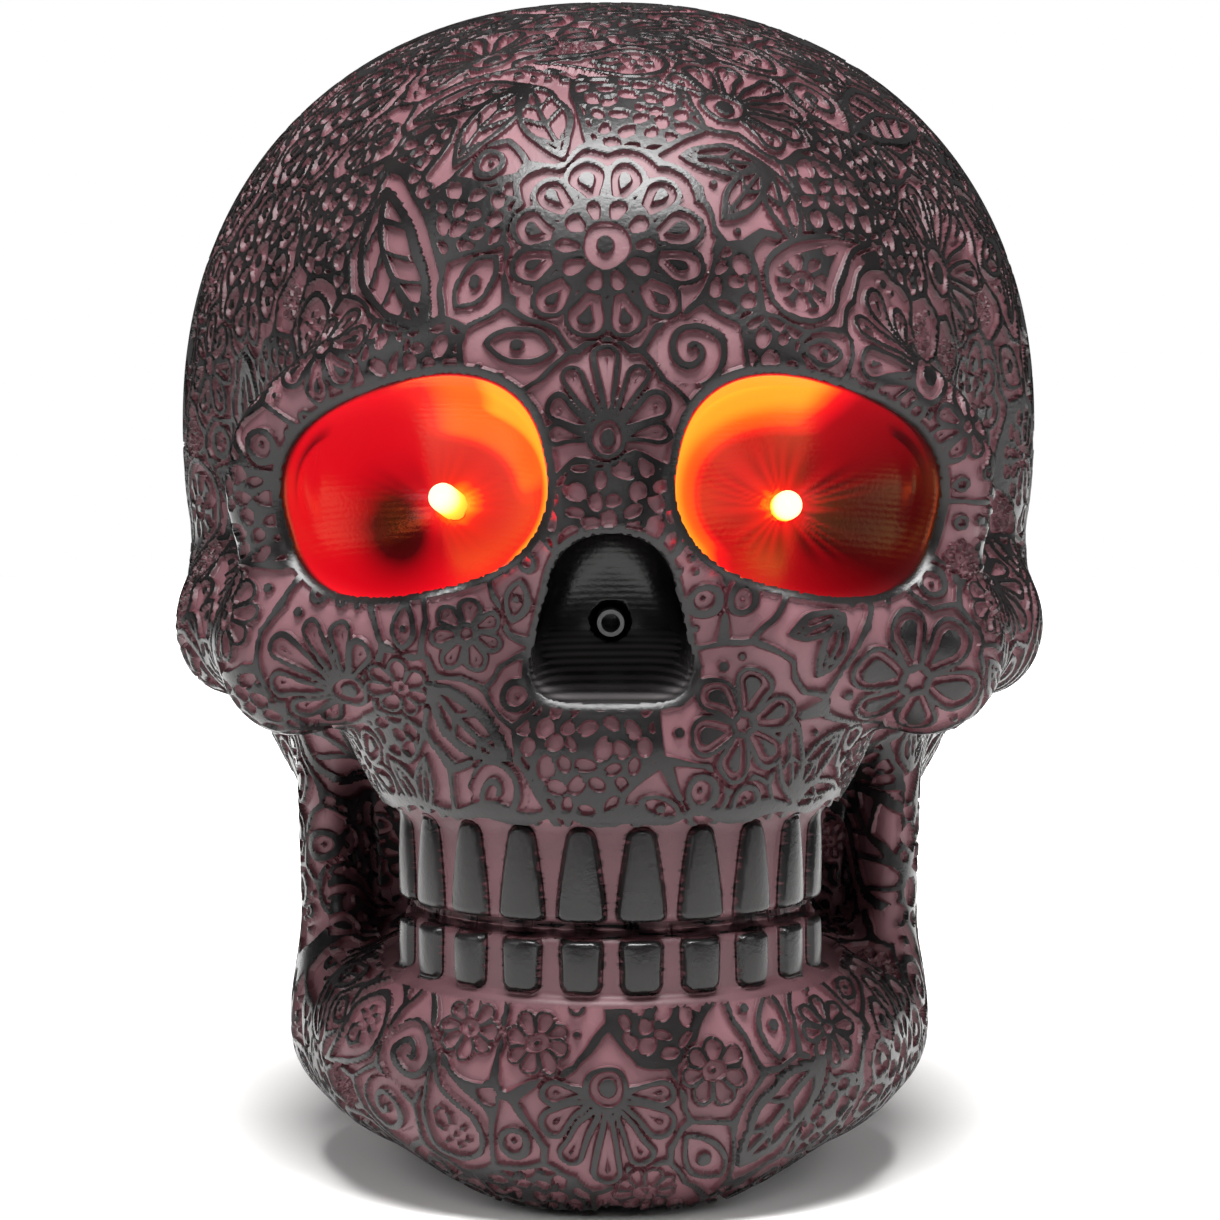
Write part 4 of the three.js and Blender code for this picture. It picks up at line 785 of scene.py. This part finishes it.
def fits(spot, r):
    """Whether a motif of some radius keeps clear of those laid before it."""
    for motif in motifs:
        if np.abs(spot - motif.centre).max() < motif.r + r + 3 and motif.drawn(spot[None])[1][0] < 0.9 * r:
            return False
    return True


# The main motifs, as on the solid: degrees round from the face, degrees up from the skull's heart, radius,
# kind and turn.
FACE_MOTIFS = (
    (0, 42, 17, rosette, 0),
    (-30, 41, 15, long_leaf, 126),
    (28, 41, 15, paisley, 46),
    (-70, 43, 15, rosette, 12),
    (66, 44, 14, palmette, 23),
    (0, 66, 13, paisley, 200),
    (0, 26, 10, palmette, 90),
    (-69, 27, 11, long_leaf, 109),
    (70, 28, 12, rosette, 17),
    (-36, -4, 10, palmette, 149),
    (38, -5, 11, daisy, 17),
    (-17.5, -10.5, 9, long_leaf, 137),
    (16, -10.5, 9, daisy, 52),
    (0, -45, 11, palmette, -90),
    (-21.5, -46, 11, paisley, 126),
    (21.5, -46, 11, long_leaf, 52),
)
# Rows of them round the sides and the back: degrees up, first, step, count and radius.
MOTIF_ROWS = (
    (84, 180, 0, 1, 16),
    (60, 72, 72, 4, 16),
    (29, 102, 39, 5, 16),
    (-5, 112, 34, 5, 13),
    (-34, 130, 50, 3, 12),
)
ROW_KINDS = (rosette, long_leaf, daisy, paisley)
ROW_TURN = 45
placed = list(FACE_MOTIFS)
for row, (up, first, step, count, r) in enumerate(MOTIF_ROWS):
    for i in range(count):
        placed.append((first + i * step, up, r, ROW_KINDS[(row + i) % len(ROW_KINDS)], i * ROW_TURN))
ways = p[free_points] - HEART
ways /= np.sqrt((ways * ways).sum(axis=1))[:, None]
for around, up, r, kind, turn in placed:
    a, e = math.radians(around), math.radians(up)
    way = np.array((math.sin(a) * math.cos(e), -math.cos(a) * math.cos(e), math.sin(e)))
    put_motif(free_points[np.argmax(ways @ way)], r, kind, math.radians(turn))
# Smaller motifs fitted in between: radius, kinds and tries.
FILLERS = (
    (17, (rosette, paisley, long_leaf, palmette), 700),
    (12, (rosette, leaves, paisley, palmette, net, long_leaf), 1500),
    (8.5, (hole_flower, leaves, palmette, daisy, net, sunburst, scales), 2500),
    (5.8, (hole_flower, daisy, curl, net, eyelet, leaves, net), 3500),
    (3.6, (ring_dot, hole_flower, eyelet, net), 4500),
)
for r, kinds, tries in FILLERS:
    for k in draw.choice(free_points, size=tries, replace=False):
        if bare_tree.find(p[k])[2] > 0.8 * r and fits(p[k], r):
            put_motif(k, r, kinds[int(draw.integers(0, len(kinds)))], draw.uniform(0, 2 * math.pi))

# Pits and beads in the ground that is left, the largest first.
DOT_RADII, DOT_CELL = (3.0, 2.2, 1.5, 1.05), 6.0
_, best, seam, ground = ornament(p, normal, motifs)
dots, dot_radii, cells = [], [], {}


def dot_fits(spot, r):
    """Whether a dot keeps clear of the dots in its own cell of space and the cells round it."""
    i, j, k = (spot // DOT_CELL).astype(int)
    for a in (i - 1, i, i + 1):
        for b in (j - 1, j, j + 1):
            for c in (k - 1, k, k + 1):
                for other, size in cells.get((a, b, c), ()):
                    if ((other - spot) ** 2).sum() < (0.7 * (r + size) + 0.9) ** 2:
                        return False
    return True


for r in DOT_RADII:
    on_black = (ground > 0) & (best > MOAT + 0.8 * r + 0.7)
    on_mauve = (ground < 0) & (best > 0.7 * r + 0.7) & (seam > SEAM / 2 + 0.7 * r + 0.6)
    for k in draw.permutation(np.flatnonzero(~bare & (on_black | on_mauve))):
        if dot_fits(p[k], r):
            cells.setdefault(tuple((p[k] // DOT_CELL).astype(int)), []).append((p[k], r))
            dots.append(p[k])
            dot_radii.append(r)
dot_tree = kdtree.KDTree(len(dots))
for i, spot in enumerate(dots):
    dot_tree.insert(spot, i)
dot_tree.balance()
dot_radii = np.array(dot_radii)
RELIEF = 1.2
THINNED = 0.2  # how far the raised lines draw in on each side as the mould is cut
RELIEF_WALL = (-0.36, 0.08)  # the raised measure over which a line's wall climbs
EYE_LIP, NOSE_LIP = 1.4, 1.3
GUM_Z, GUM_TOP_Z = 69.4, 72


def relief(p, normal):
    """Raised measure at points of the finished skin, and how far they are lifted."""
    field, _, _, ground = ornament(p, normal, motifs)
    found = [dot_tree.find(spot) for spot in p]
    which = np.array([f[1] for f in found])
    field = dotted(field, np.array([f[2] for f in found]), dot_radii[which], ground) - THINNED
    carved, in_socket, in_nose, on_teeth, underside = zones(p)
    lip = np.maximum(EYE_LIP - np.abs(socket(p)), NOSE_LIP - np.abs(nostril(p)))
    field = np.where(carved < 1.0, np.maximum(field, lip), field)
    edge = np.where(p[:, 2] > BITE_Z, upper_teeth(p)[0], lower_teeth(p)[0])
    # The band between the rows takes the darker wall colour: painted shade in the bite.
    in_bite = (p[:, 2] > LOWER_TOOTH[1] - 0.6) & (p[:, 2] < UPPER_TOOTH[0] + 0.5)
    field = np.where(on_teeth, np.where(in_bite, -0.15, -edge - 0.25), field)
    # A wavy black line of uneven width runs along the upper gum.
    gum_off = np.abs(p[:, 2] - GUM_Z - 0.6 * np.sin(p[:, 0] * 0.55))
    gum = 1.0 + 0.5 * np.sin(p[:, 0] * 0.31 + 1) - gum_off
    at_gum = (p[:, 1] < TEETH_BACK_Y) & (np.abs(p[:, 0]) < CORE_RADII[0] + 3)
    at_gum = at_gum & (p[:, 2] > TEETH_ROWS[1]) & (p[:, 2] < GUM_TOP_Z)
    field = np.where(at_gum & (carved < 1.0), np.maximum(field, gum), field)
    field = np.where(in_socket | in_nose, 3.0, field)
    field = np.where(underside, 2.0, field)
    plain = on_teeth | in_socket | in_nose | underside
    lift = np.where(plain, 0.0, RELIEF * ease(*RELIEF_WALL, field))
    return field, lift, in_socket, in_nose, on_teeth, carved


def bell(value, width):
    """A smooth hump that falls away on both sides of nothing."""
    return np.exp(-((value / width) ** 2))


def paint_socket_light(p, carved, field):
    """Painted light: each lamp's light laid on its socket's walls as emission, brightest towards the nose, as
    shares of the painted light colours.
    """
    u, v, axial = eye_place(p)
    rho = np.hypot(u, v)
    angle = np.degrees(np.arctan2(v, -u))  # 0 towards the nose, 90 up
    rays = 0.07 * np.sin(np.radians(angle) * 23 + 3 * np.sin(np.radians(angle) * 5)) * ease(0.75, 0.2, rho)
    # Right: painted light in a bright arc along the nose and the brow, a red floor with rays, and the lamp's
    # own halo.
    side = 0.5 + 0.5 * np.cos(np.radians(angle - 5))
    arc = bell(np.maximum(np.abs(angle - 18) - 62, 0), 24) * ease(0.52, 0.8, rho)
    right = np.maximum((0.7 + 0.2 * ease(0.78, 0.98, rho)) * arc, 0.12 + 0.31 * side**0.5 + rays)
    right = right + 0.55 * bell(rho, 0.2)
    # Left: the same, with a thinner arc and a painted shadow that the leaning lamp throws outwards.
    brow = bell(np.maximum(np.abs(angle - 34) - 30, 0), 34) * ease(0.4, 0.75, rho)
    rim = bell(np.maximum(np.abs(angle) - 45, 0), 22) * ease(0.76, 0.98, rho)
    left = np.maximum(np.maximum(0.47 + 0.5 * rays, 0.73 * brow), 0.9 * rim)
    left = left * (1 - 0.88 * bell(u - 0.3, 0.26) * bell(v + 0.16, 0.46))
    left = left + 0.55 * bell(np.hypot(u + 0.15, v + 0.02), 0.21)
    inside = np.maximum(ease(0.5, 2.4, carved), ease(10, 14, axial)) * (np.abs(socket(p)) < 2.4)
    # A little painted light leaks in flecks onto the bare floors outside the lower rim.
    leak = bell(angle + 38, 26) * ease(4.2, 0.6, socket(p)) * (field < 0.0) * (socket(p) > 0)
    fleck = 0.5 + 0.5 * np.sin(p[:, 0] * 1.3 + 2 * np.sin(p[:, 2] * 0.9))
    lit = inside * np.where(p[:, 0] > 0, right, left)
    return np.clip(np.maximum(lit, 0.66 * leak * fleck * (carved < 1)), 0, 1)


FRONT_Y = 12.11  # the skin is cut here into its fine front and its coarser back
FRONT_VOXEL = 0.46
BACK_VOXEL = 0.9
PLANE_NEAR, SLIVER = 1e-6, 3e-6  # metres


def cut(bm, spot, way):
    """Cuts a solid by a plane in place, keeps the side away from the arrow and closes the cut."""
    place = Vector(spot) * MM + Vector((0, SHIFT_Y * MM, 0))
    geometry = bm.verts[:] + bm.edges[:] + bm.faces[:]
    bmesh.ops.bisect_plane(bm, geom=geometry, dist=PLANE_NEAR, plane_co=place, plane_no=way, clear_outer=True)
    bmesh.ops.dissolve_degenerate(bm, edges=[e for e in bm.edges if e.is_boundary], dist=SLIVER)
    rim = [e for e in bm.edges if e.is_boundary]
    before = set(bm.faces)
    bmesh.ops.triangle_fill(bm, edges=rim, use_beauty=True, normal=Vector(way))
    if not all(e.is_manifold for e in bm.edges):
        # A fold of the relief crosses itself in this cut: one face for each loop closes it instead.
        bmesh.ops.delete(bm, geom=[f for f in bm.faces if f not in before], context="FACES_ONLY")
        bmesh.ops.delete(bm, geom=[e for e in bm.edges if e.is_wire], context="EDGES")
        bmesh.ops.holes_fill(bm, edges=[e for e in bm.edges if e.is_boundary], sides=0)
    for e in (e for e in rim if e.is_valid):
        e.smooth = False
    for f in (f for f in bm.faces if f not in before):
        f.smooth = False


HALF_MARGIN, SKIN_NEAR = 4, 1.6


def skin_half(way, voxel):
    """One half of the base with a margin, remeshed fine, settled on the sculpt and raised."""
    bm = bmesh.new()
    bm.from_mesh(base)
    cut(bm, (0, FRONT_Y + way * HALF_MARGIN, 0), (0, way, 0))
    half = bpy.data.meshes.new("half")
    bm.to_mesh(half)
    bm.free()
    half = remeshed(half, voxel)
    p = points_of(half)
    near = np.flatnonzero(np.abs(casting(p)) < SKIN_NEAR)
    p[near] = settle(p[near], casting, 3)
    _, normal = slope(p[near], casting)
    field, lift, in_socket, in_nose, on_teeth, carved = relief(p[near], normal)
    # The lamps' light on the socket walls, painted on as emission.
    lamp_light = paint_socket_light(p[near], carved, field)
    hollow = ease(0.4, 2.0, np.where(in_socket | in_nose, carved, 0))
    # A painted highlight: a grey sheen on the lower sill of the nose.
    painted_sheen = in_nose * ease(0.6, 2.5, carved) * ease(99, 89, p[near][:, 2])
    marks = {"raised": field, "hollow": hollow, "tooth": on_teeth, "nose_sheen": painted_sheen, "lamp_glow": lamp_light}
    p[near] += normal * lift[:, None]
    put_points(half, p)
    for name, values in marks.items():
        attribute = half.attributes.new(name, "FLOAT", "POINT")
        whole = np.zeros(len(p), np.float32)
        whole[near] = values
        attribute.data.foreach_set("value", whole)
    plain = np.tile((0, 0, 1.0), (len(p), 1))
    plain[near] = normal
    half.attributes.new("plain_normal", "FLOAT_VECTOR", "POINT").data.foreach_set("vector", plain.ravel())
    half.polygons.foreach_set("use_smooth", np.ones(len(half.polygons), bool))
    return half


# Cast resin under two coats of paint: the eye gets satin black lines with worn edges on a dull mauve ground.
# Pattern scales are repeats in a metre; the grain and the brush hairs are drawn coarser than the real ones,
# which are too fine for the picture.
GRAIN_SCALE = 1100.0  # grains 0.9 mm wide
PATCH_SCALE = 55.0  # patches 18 mm wide
HAIR_SCALE, HAIR_STRETCH = 1500.0, (0.12, 0.12, 1)  # brush strokes 0.7 mm thick and eight times as long
LAYER_SCALE = 300.0  # layer lines 1 mm apart
resin, add, shade = new_material("wiped_cast_resin")


def mark(name):
    """A value laid on the skin's points."""
    return add("ShaderNodeAttribute", {"attribute_name": name}).outputs["Fac"]


def from_noise(noise, low, high):
    """The middle of a noise's range spread from one value to another."""
    spread = add("ShaderNodeMapRange", Value=noise, From_Min=0.3, From_Max=0.7, To_Min=low, To_Max=high)
    return spread.outputs["Result"]


raised_in, painted_light_in, hollow_in, tooth_in = mark("raised"), mark("lamp_glow"), mark("hollow"), mark("tooth")
place = add("ShaderNodeTexCoord").outputs["Object"]
grain = add("ShaderNodeTexNoise", Vector=place, Scale=GRAIN_SCALE, Detail=4.0, Roughness=0.6).outputs["Fac"]
patch = add("ShaderNodeTexNoise", Vector=place, Scale=PATCH_SCALE, Detail=3.0, Roughness=0.55).outputs["Fac"]
# Black satin paint wiped over the raised ornament only: a crisp edge, a little worn along it, and on the teeth
# dragged by the brush.
drawn_out = add("ShaderNodeMapping", Vector=place, Scale=HAIR_STRETCH).outputs["Vector"]
strokes = add("ShaderNodeTexNoise", Vector=drawn_out, Scale=HAIR_SCALE, Detail=2.0).outputs["Fac"]
dragged = from_noise(strokes, -0.55, 0.45)
brushed = add("ShaderNodeMath", {"operation": "MULTIPLY_ADD"}, i0=dragged, i1=tooth_in, i2=raised_in).outputs[0]
frayed = add("ShaderNodeMath", {"operation": "MULTIPLY_ADD"}, i0=grain, i1=0.26, i2=brushed).outputs[0]
paint = add(
    "ShaderNodeMapRange", {"interpolation_type": "SMOOTHSTEP"}, Value=frayed, From_Min=0.07, From_Max=0.19
).outputs["Result"]
top_tone = ramp(add("ShaderNodeValToRGB", Fac=patch), ((0.3, linear("0a0909")), (0.7, linear("151313"))))
# Dull mauve undercoat on the floors, with painted shade: darker along the walls and between the teeth.
wall_shade = add("ShaderNodeMapRange", Value=frayed, From_Min=0.16, From_Max=-0.36).outputs["Result"]
shaded_floor_tone = ramp(
    add("ShaderNodeValToRGB", Fac=wall_shade),
    ((0.0, linear("260f14")), (0.4, linear("452127")), (0.75, linear("53363b")), (1.0, linear("5d3e43"))),
)
uneven = from_noise(patch, 0.74, 1.12)
gap_shade = add("ShaderNodeMapRange", Value=tooth_in, To_Min=1.0, To_Max=0.66).outputs["Result"]
uneven_and_gap_shade = add("ShaderNodeMath", {"operation": "MULTIPLY"}, i0=uneven, i1=gap_shade).outputs[0]
shaded_floor_colour = add(
    "ShaderNodeVectorMath", {"operation": "SCALE"}, i0=shaded_floor_tone.outputs["Color"], Scale=uneven_and_gap_shade
).outputs[0]
painted = add(
    "ShaderNodeMix", {"data_type": "RGBA"}, i0=paint, i6=shaded_floor_colour, i7=top_tone.outputs["Color"]
).outputs[2]
rough = add("ShaderNodeMix", i0=paint, i2=0.5, i3=from_noise(patch, 0.22, 0.38)).outputs[0]
rough = add("ShaderNodeMix", i0=hollow_in, i2=rough, i3=0.24).outputs[0]
# A painted highlight: a grey sheen laid into the colour on the sill of the nose, broken by the mould's layer
# lines.
layers = add(
    "ShaderNodeTexWave",
    {"bands_direction": "Z"},
    Vector=place,
    Scale=LAYER_SCALE,
    Distortion=4.0,
    Detail=1.0,
    Detail_Scale=0.08,
).outputs["Fac"]
highlight_streaks = add("ShaderNodeMapRange", Value=layers, To_Min=0.12, To_Max=0.55).outputs["Result"]
painted_sheen = add("ShaderNodeMath", {"operation": "MULTIPLY"}, i0=highlight_streaks, i1=mark("nose_sheen")).outputs[0]
colour = add("ShaderNodeMix", {"data_type": "RGBA"}, i0=painted_sheen, i6=painted, i7=linear("7c7778")).outputs[2]
# Painted light: the lamps' light on the socket walls, laid on as emission from dark red to yellow.
painted_light_colour = ramp(
    add("ShaderNodeValToRGB", Fac=painted_light_in),
    (
        (0.0, linear("000000")),
        (0.2, linear("3c0106")),
        (0.45, linear("cc0416")),
        (0.62, linear("ec1218")),
        (0.76, linear("ff6414")),
        (0.9, linear("ffa024")),
        (1.0, linear("ffd250")),
    ),
)
# Walls a little steeper than the mesh, a fine casting grain, and the mould's layer lines in the hollows.
plain_in = add("ShaderNodeAttribute", {"attribute_name": "plain_normal"}).outputs["Vector"]
plain = add(
    "ShaderNodeVectorTransform",
    {"vector_type": "NORMAL", "convert_from": "OBJECT", "convert_to": "WORLD"},
    Vector=plain_in,
).outputs["Vector"]
wall = add(
    "ShaderNodeMapRange", {"interpolation_type": "SMOOTHSTEP"}, Value=raised_in, From_Min=-0.32, From_Max=0.02
).outputs["Result"]
bump = add("ShaderNodeBump", Strength=0.8, Distance=0.8 * MM, Height=wall, Normal=plain).outputs["Normal"]
bump = add("ShaderNodeBump", Strength=0.3, Distance=0.2 * MM, Height=grain, Normal=bump).outputs["Normal"]
layer_lines = add("ShaderNodeMath", {"operation": "MULTIPLY"}, i0=layers, i1=hollow_in).outputs[0]
bump = add("ShaderNodeBump", Strength=0.1, Distance=0.12 * MM, Height=layer_lines, Normal=bump)
surface = add(
    "ShaderNodeBsdfPrincipled",
    Base_Color=colour,
    Roughness=rough,
    Normal=bump.outputs["Normal"],
    Specular_IOR_Level=0.24,
    Emission_Color=painted_light_colour.outputs["Color"],
    Emission_Strength=1.15,
)
shade(surface.outputs["BSDF"])


def casting_piece(name, half, planes):
    """A closed piece of the casting between planes, each given as a point and the way that is cut off."""
    bm = bmesh.new()
    bm.from_mesh(half)
    for spot, way in planes:
        cut(bm, spot, way)
    mesh = bpy.data.meshes.new(name)
    bm.to_mesh(mesh)
    bm.free()
    mesh.materials.append(resin)
    piece = bpy.data.objects.new(name, mesh)
    bpy.context.scene.collection.objects.link(piece)
    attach(piece, "skull")
    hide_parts("skull_shell")


def above(z):
    """The plane that cuts off what lies above a height."""
    return (0, 0, z), (0, 0, 1)


def below(z):
    """The plane that cuts off what lies below a height."""
    return (0, 0, z), (0, 0, -1)


BROW_Z, CHEEK_Z, MIDDLE_X = 145.81, 92.37, 0.137  # where the casting is divided, clear of the holes
behind = ((0, FRONT_Y, 0), (0, 1, 0))
front = skin_half(1, FRONT_VOXEL)
for side, way in (("left", 1), ("right", -1)):
    middle = ((MIDDLE_X, 0, 0), (way, 0, 0))
    casting_piece("casting_forehead_" + side, front, (behind, below(BROW_Z), middle))
    casting_piece("casting_eye_" + side, front, (behind, above(BROW_Z), below(CHEEK_Z), middle))
    casting_piece("casting_cheek_" + side, front, (behind, above(CHEEK_Z), below(BITE_Z), middle))
    casting_piece("casting_jaw_" + side, front, (behind, above(BITE_Z), middle))
back = skin_half(-1, BACK_VOXEL)
casting_piece("casting_back", back, (((0, FRONT_Y, 0), (0, -1, 0)),))

# Foot pads
# Four round pads of stick-on foam under the rim, cut from sheet: open cells, dull and dark, so that the eye
# gets no gloss at all from them.
BROAD_SCALE = 90.0  # handling marks 11 mm wide, as repeats in a metre


def dress(names, material):
    """Gives solids of the frame a material."""
    for name in names:
        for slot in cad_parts[name].material_slots:
            slot.material = material


def textured(name, dark, light, grain_mm, roughness, bump_mm, metal=0.0, stretch=(1, 1, 1), cells=False):
    """A material whose colour, gloss and surface vary with a grain of a real size."""
    material, add, shade = new_material(name)
    object_place = add("ShaderNodeTexCoord").outputs["Object"]
    place = add("ShaderNodeMapping", Vector=object_place, Scale=stretch).outputs["Vector"]
    kind, output = ("ShaderNodeTexVoronoi", "Distance") if cells else ("ShaderNodeTexNoise", "Fac")
    fine = add(kind, Vector=place, Scale=1000.0 / grain_mm).outputs[output]
    broad = add("ShaderNodeTexNoise", Vector=place, Scale=BROAD_SCALE, Detail=3.0).outputs["Fac"]
    blend = add("ShaderNodeMath", {"operation": "MULTIPLY_ADD"}, i0=fine, i1=0.4, i2=broad).outputs[0]
    tone = ramp(add("ShaderNodeValToRGB", Fac=blend), ((0.4, linear(dark)), (1.0, linear(light))))
    gloss = add(
        "ShaderNodeMapRange", Value=blend, From_Min=0.4, From_Max=1.0, To_Min=roughness[0], To_Max=roughness[1]
    )
    bump = add("ShaderNodeBump", Strength=0.5, Distance=bump_mm * MM, Height=fine)
    surface = add(
        "ShaderNodeBsdfPrincipled",
        Base_Color=tone.outputs["Color"],
        Roughness=gloss.outputs["Result"],
        Metallic=metal,
        Normal=bump.outputs["Normal"],
    )
    shade(surface.outputs["BSDF"])
    return material


foam = textured("stick_on_foam", "131314", "2b2b2c", 0.35, (0.9, 1.0), 0.12, cells=True)
dress([f"foot_pad_{i}" for i in (1, 2, 3, 4)], foam)

# Base plate, battery door and switch
# Injection-moulded black plastic with a spark-eroded grain that breaks up its gloss. The plate is screwed up
# into the casting, the door hooks in with two tabs and takes one screw, and the knob slides in its slot.
moulded = textured("moulded_black_plastic", "121213", "242425", 0.3, (0.42, 0.6), 0.03)
dress(("base_plate", "battery_door", "switch_body", "switch_slider"), moulded)

# Sensor tube
# A short length of drawn plastic sleeve pressed into the hole in the nose. Its smooth wall and cut rim catch
# the light as a small grey ring in the dark, and its colour is painted grey for that ring: a painted highlight.
dress(("sensor_tube",), textured("sleeve_with_painted_highlight", "3c3c3e", "5d5d5f", 0.5, (0.25, 0.4), 0.02))

# Screws
# Small self-tapping screws of steel that hold the plate, the door and the board. Zinc plating gives them a
# bluish, slightly cloudy shine.
screws = [f"base_screw_{i}" for i in (1, 2, 3, 4)] + ["board_screw_1", "board_screw_2", "door_screw"]
dress(screws, textured("zinc_plated_steel", "8f9296", "c9cccf", 0.5, (0.26, 0.45), 0.02, metal=1.0))

# Cells
# Three standard cells held between springs and plates. Plain shrink wrap makes them glossy, with the faint
# creases of the shrinking along them.
wrap = textured("shrink_wrap", "34373c", "5a5e64", 2.0, (0.2, 0.38), 0.05, stretch=(1, 0.25, 1))
dress([f"battery_{i}" for i in (1, 2, 3)], wrap)

# Contacts
# Springs, links and end plates bent from strip and wire and pushed into the bay's slots. Nickel plating makes
# them warm and bright, brushed along their length.
springs = [f"contact_spring_{i}" for i in (1, 2, 3)]
plates = ["contact_link_front", "contact_end_front", "contact_end_rear", "contact_link_rear"]
nickel = textured("nickel_plate", "97948b", "d3d0c6", 0.6, (0.2, 0.4), 0.02, metal=1.0, stretch=(0.2, 1, 1))
dress(springs + plates, nickel)

# Circuit board
# A small board under glossy green solder mask, screwed to the roof of the battery bay, with its chip under a
# blob of black epoxy that has set smooth; the same epoxy caps the light sensor behind its tube.
dress(("circuit_board",), textured("green_solder_mask", "153a1e", "3c7a47", 1.2, (0.3, 0.5), 0.04, cells=True))
dress(("control_chip", "light_sensor"), textured("black_epoxy", "0a0a0b", "1d1d1e", 0.9, (0.22, 0.42), 0.05))

# Leads
# Thin stranded wires in soft insulation with a dull sheen, soldered to the board at one end and to their parts
# at the other: red for the feeds, black for the returns.
red = textured("red_wire_insulation", "75140f", "b32c26", 0.8, (0.36, 0.55), 0.04)
black = textured("black_wire_insulation", "101011", "262627", 0.8, (0.36, 0.55), 0.04)
dress(("eye_lead_left", "eye_lead_right", "battery_lead_positive", "switch_lead"), red)
dress(("sensor_lead", "battery_lead_negative"), black)

# Lamps
# Two clear red 5 mm lamps pushed into the sockets' holes, lit: white-hot at the dome and yellower down the
# side, with a little of their red light on what stands near them.
LAMP_FOOT, LAMP_TIP = -1 * MM, 8 * MM
LIGHT_AHEAD = 13
for side, spot, way in (("left", left_floor, left_out), ("right", eye_floor, -eye_back)):
    glass, add, shade = new_material("lit_lamp_" + side)
    place = add("ShaderNodeTexCoord").outputs["Object"]
    height = add("ShaderNodeVectorMath", {"operation": "DOT_PRODUCT"}, i0=place, i1=tuple(way)).outputs["Value"]
    foot = float((spot + (0, SHIFT_Y, 0)) @ way) * MM
    share = add("ShaderNodeMapRange", Value=height, From_Min=foot + LAMP_FOOT, From_Max=foot + LAMP_TIP)
    lamp_light = ramp(
        add("ShaderNodeValToRGB", Fac=share.outputs["Result"]),
        ((0.0, linear("ff6a10")), (0.45, linear("ffc23a")), (0.9, linear("fff3c0"))),
    )
    surface = add(
        "ShaderNodeBsdfPrincipled",
        Base_Color=linear("c01008"),
        Roughness=0.12,
        Emission_Color=lamp_light.outputs["Color"],
        Emission_Strength=1.8,
    )
    shade(surface.outputs["BSDF"])
    dress(("eye_led_" + side,), glass)
    data = bpy.data.lights.new("lamp_" + side, "POINT")
    data.energy = 0.003
    data.color = (1.0, 0.12, 0.02)
    data.shadow_soft_size = 0.002
    light = bpy.data.objects.new("lamp_" + side, data)
    bpy.context.scene.collection.objects.link(light)
    light.location = (spot + LIGHT_AHEAD * way + (0, SHIFT_Y, 0)) * MM
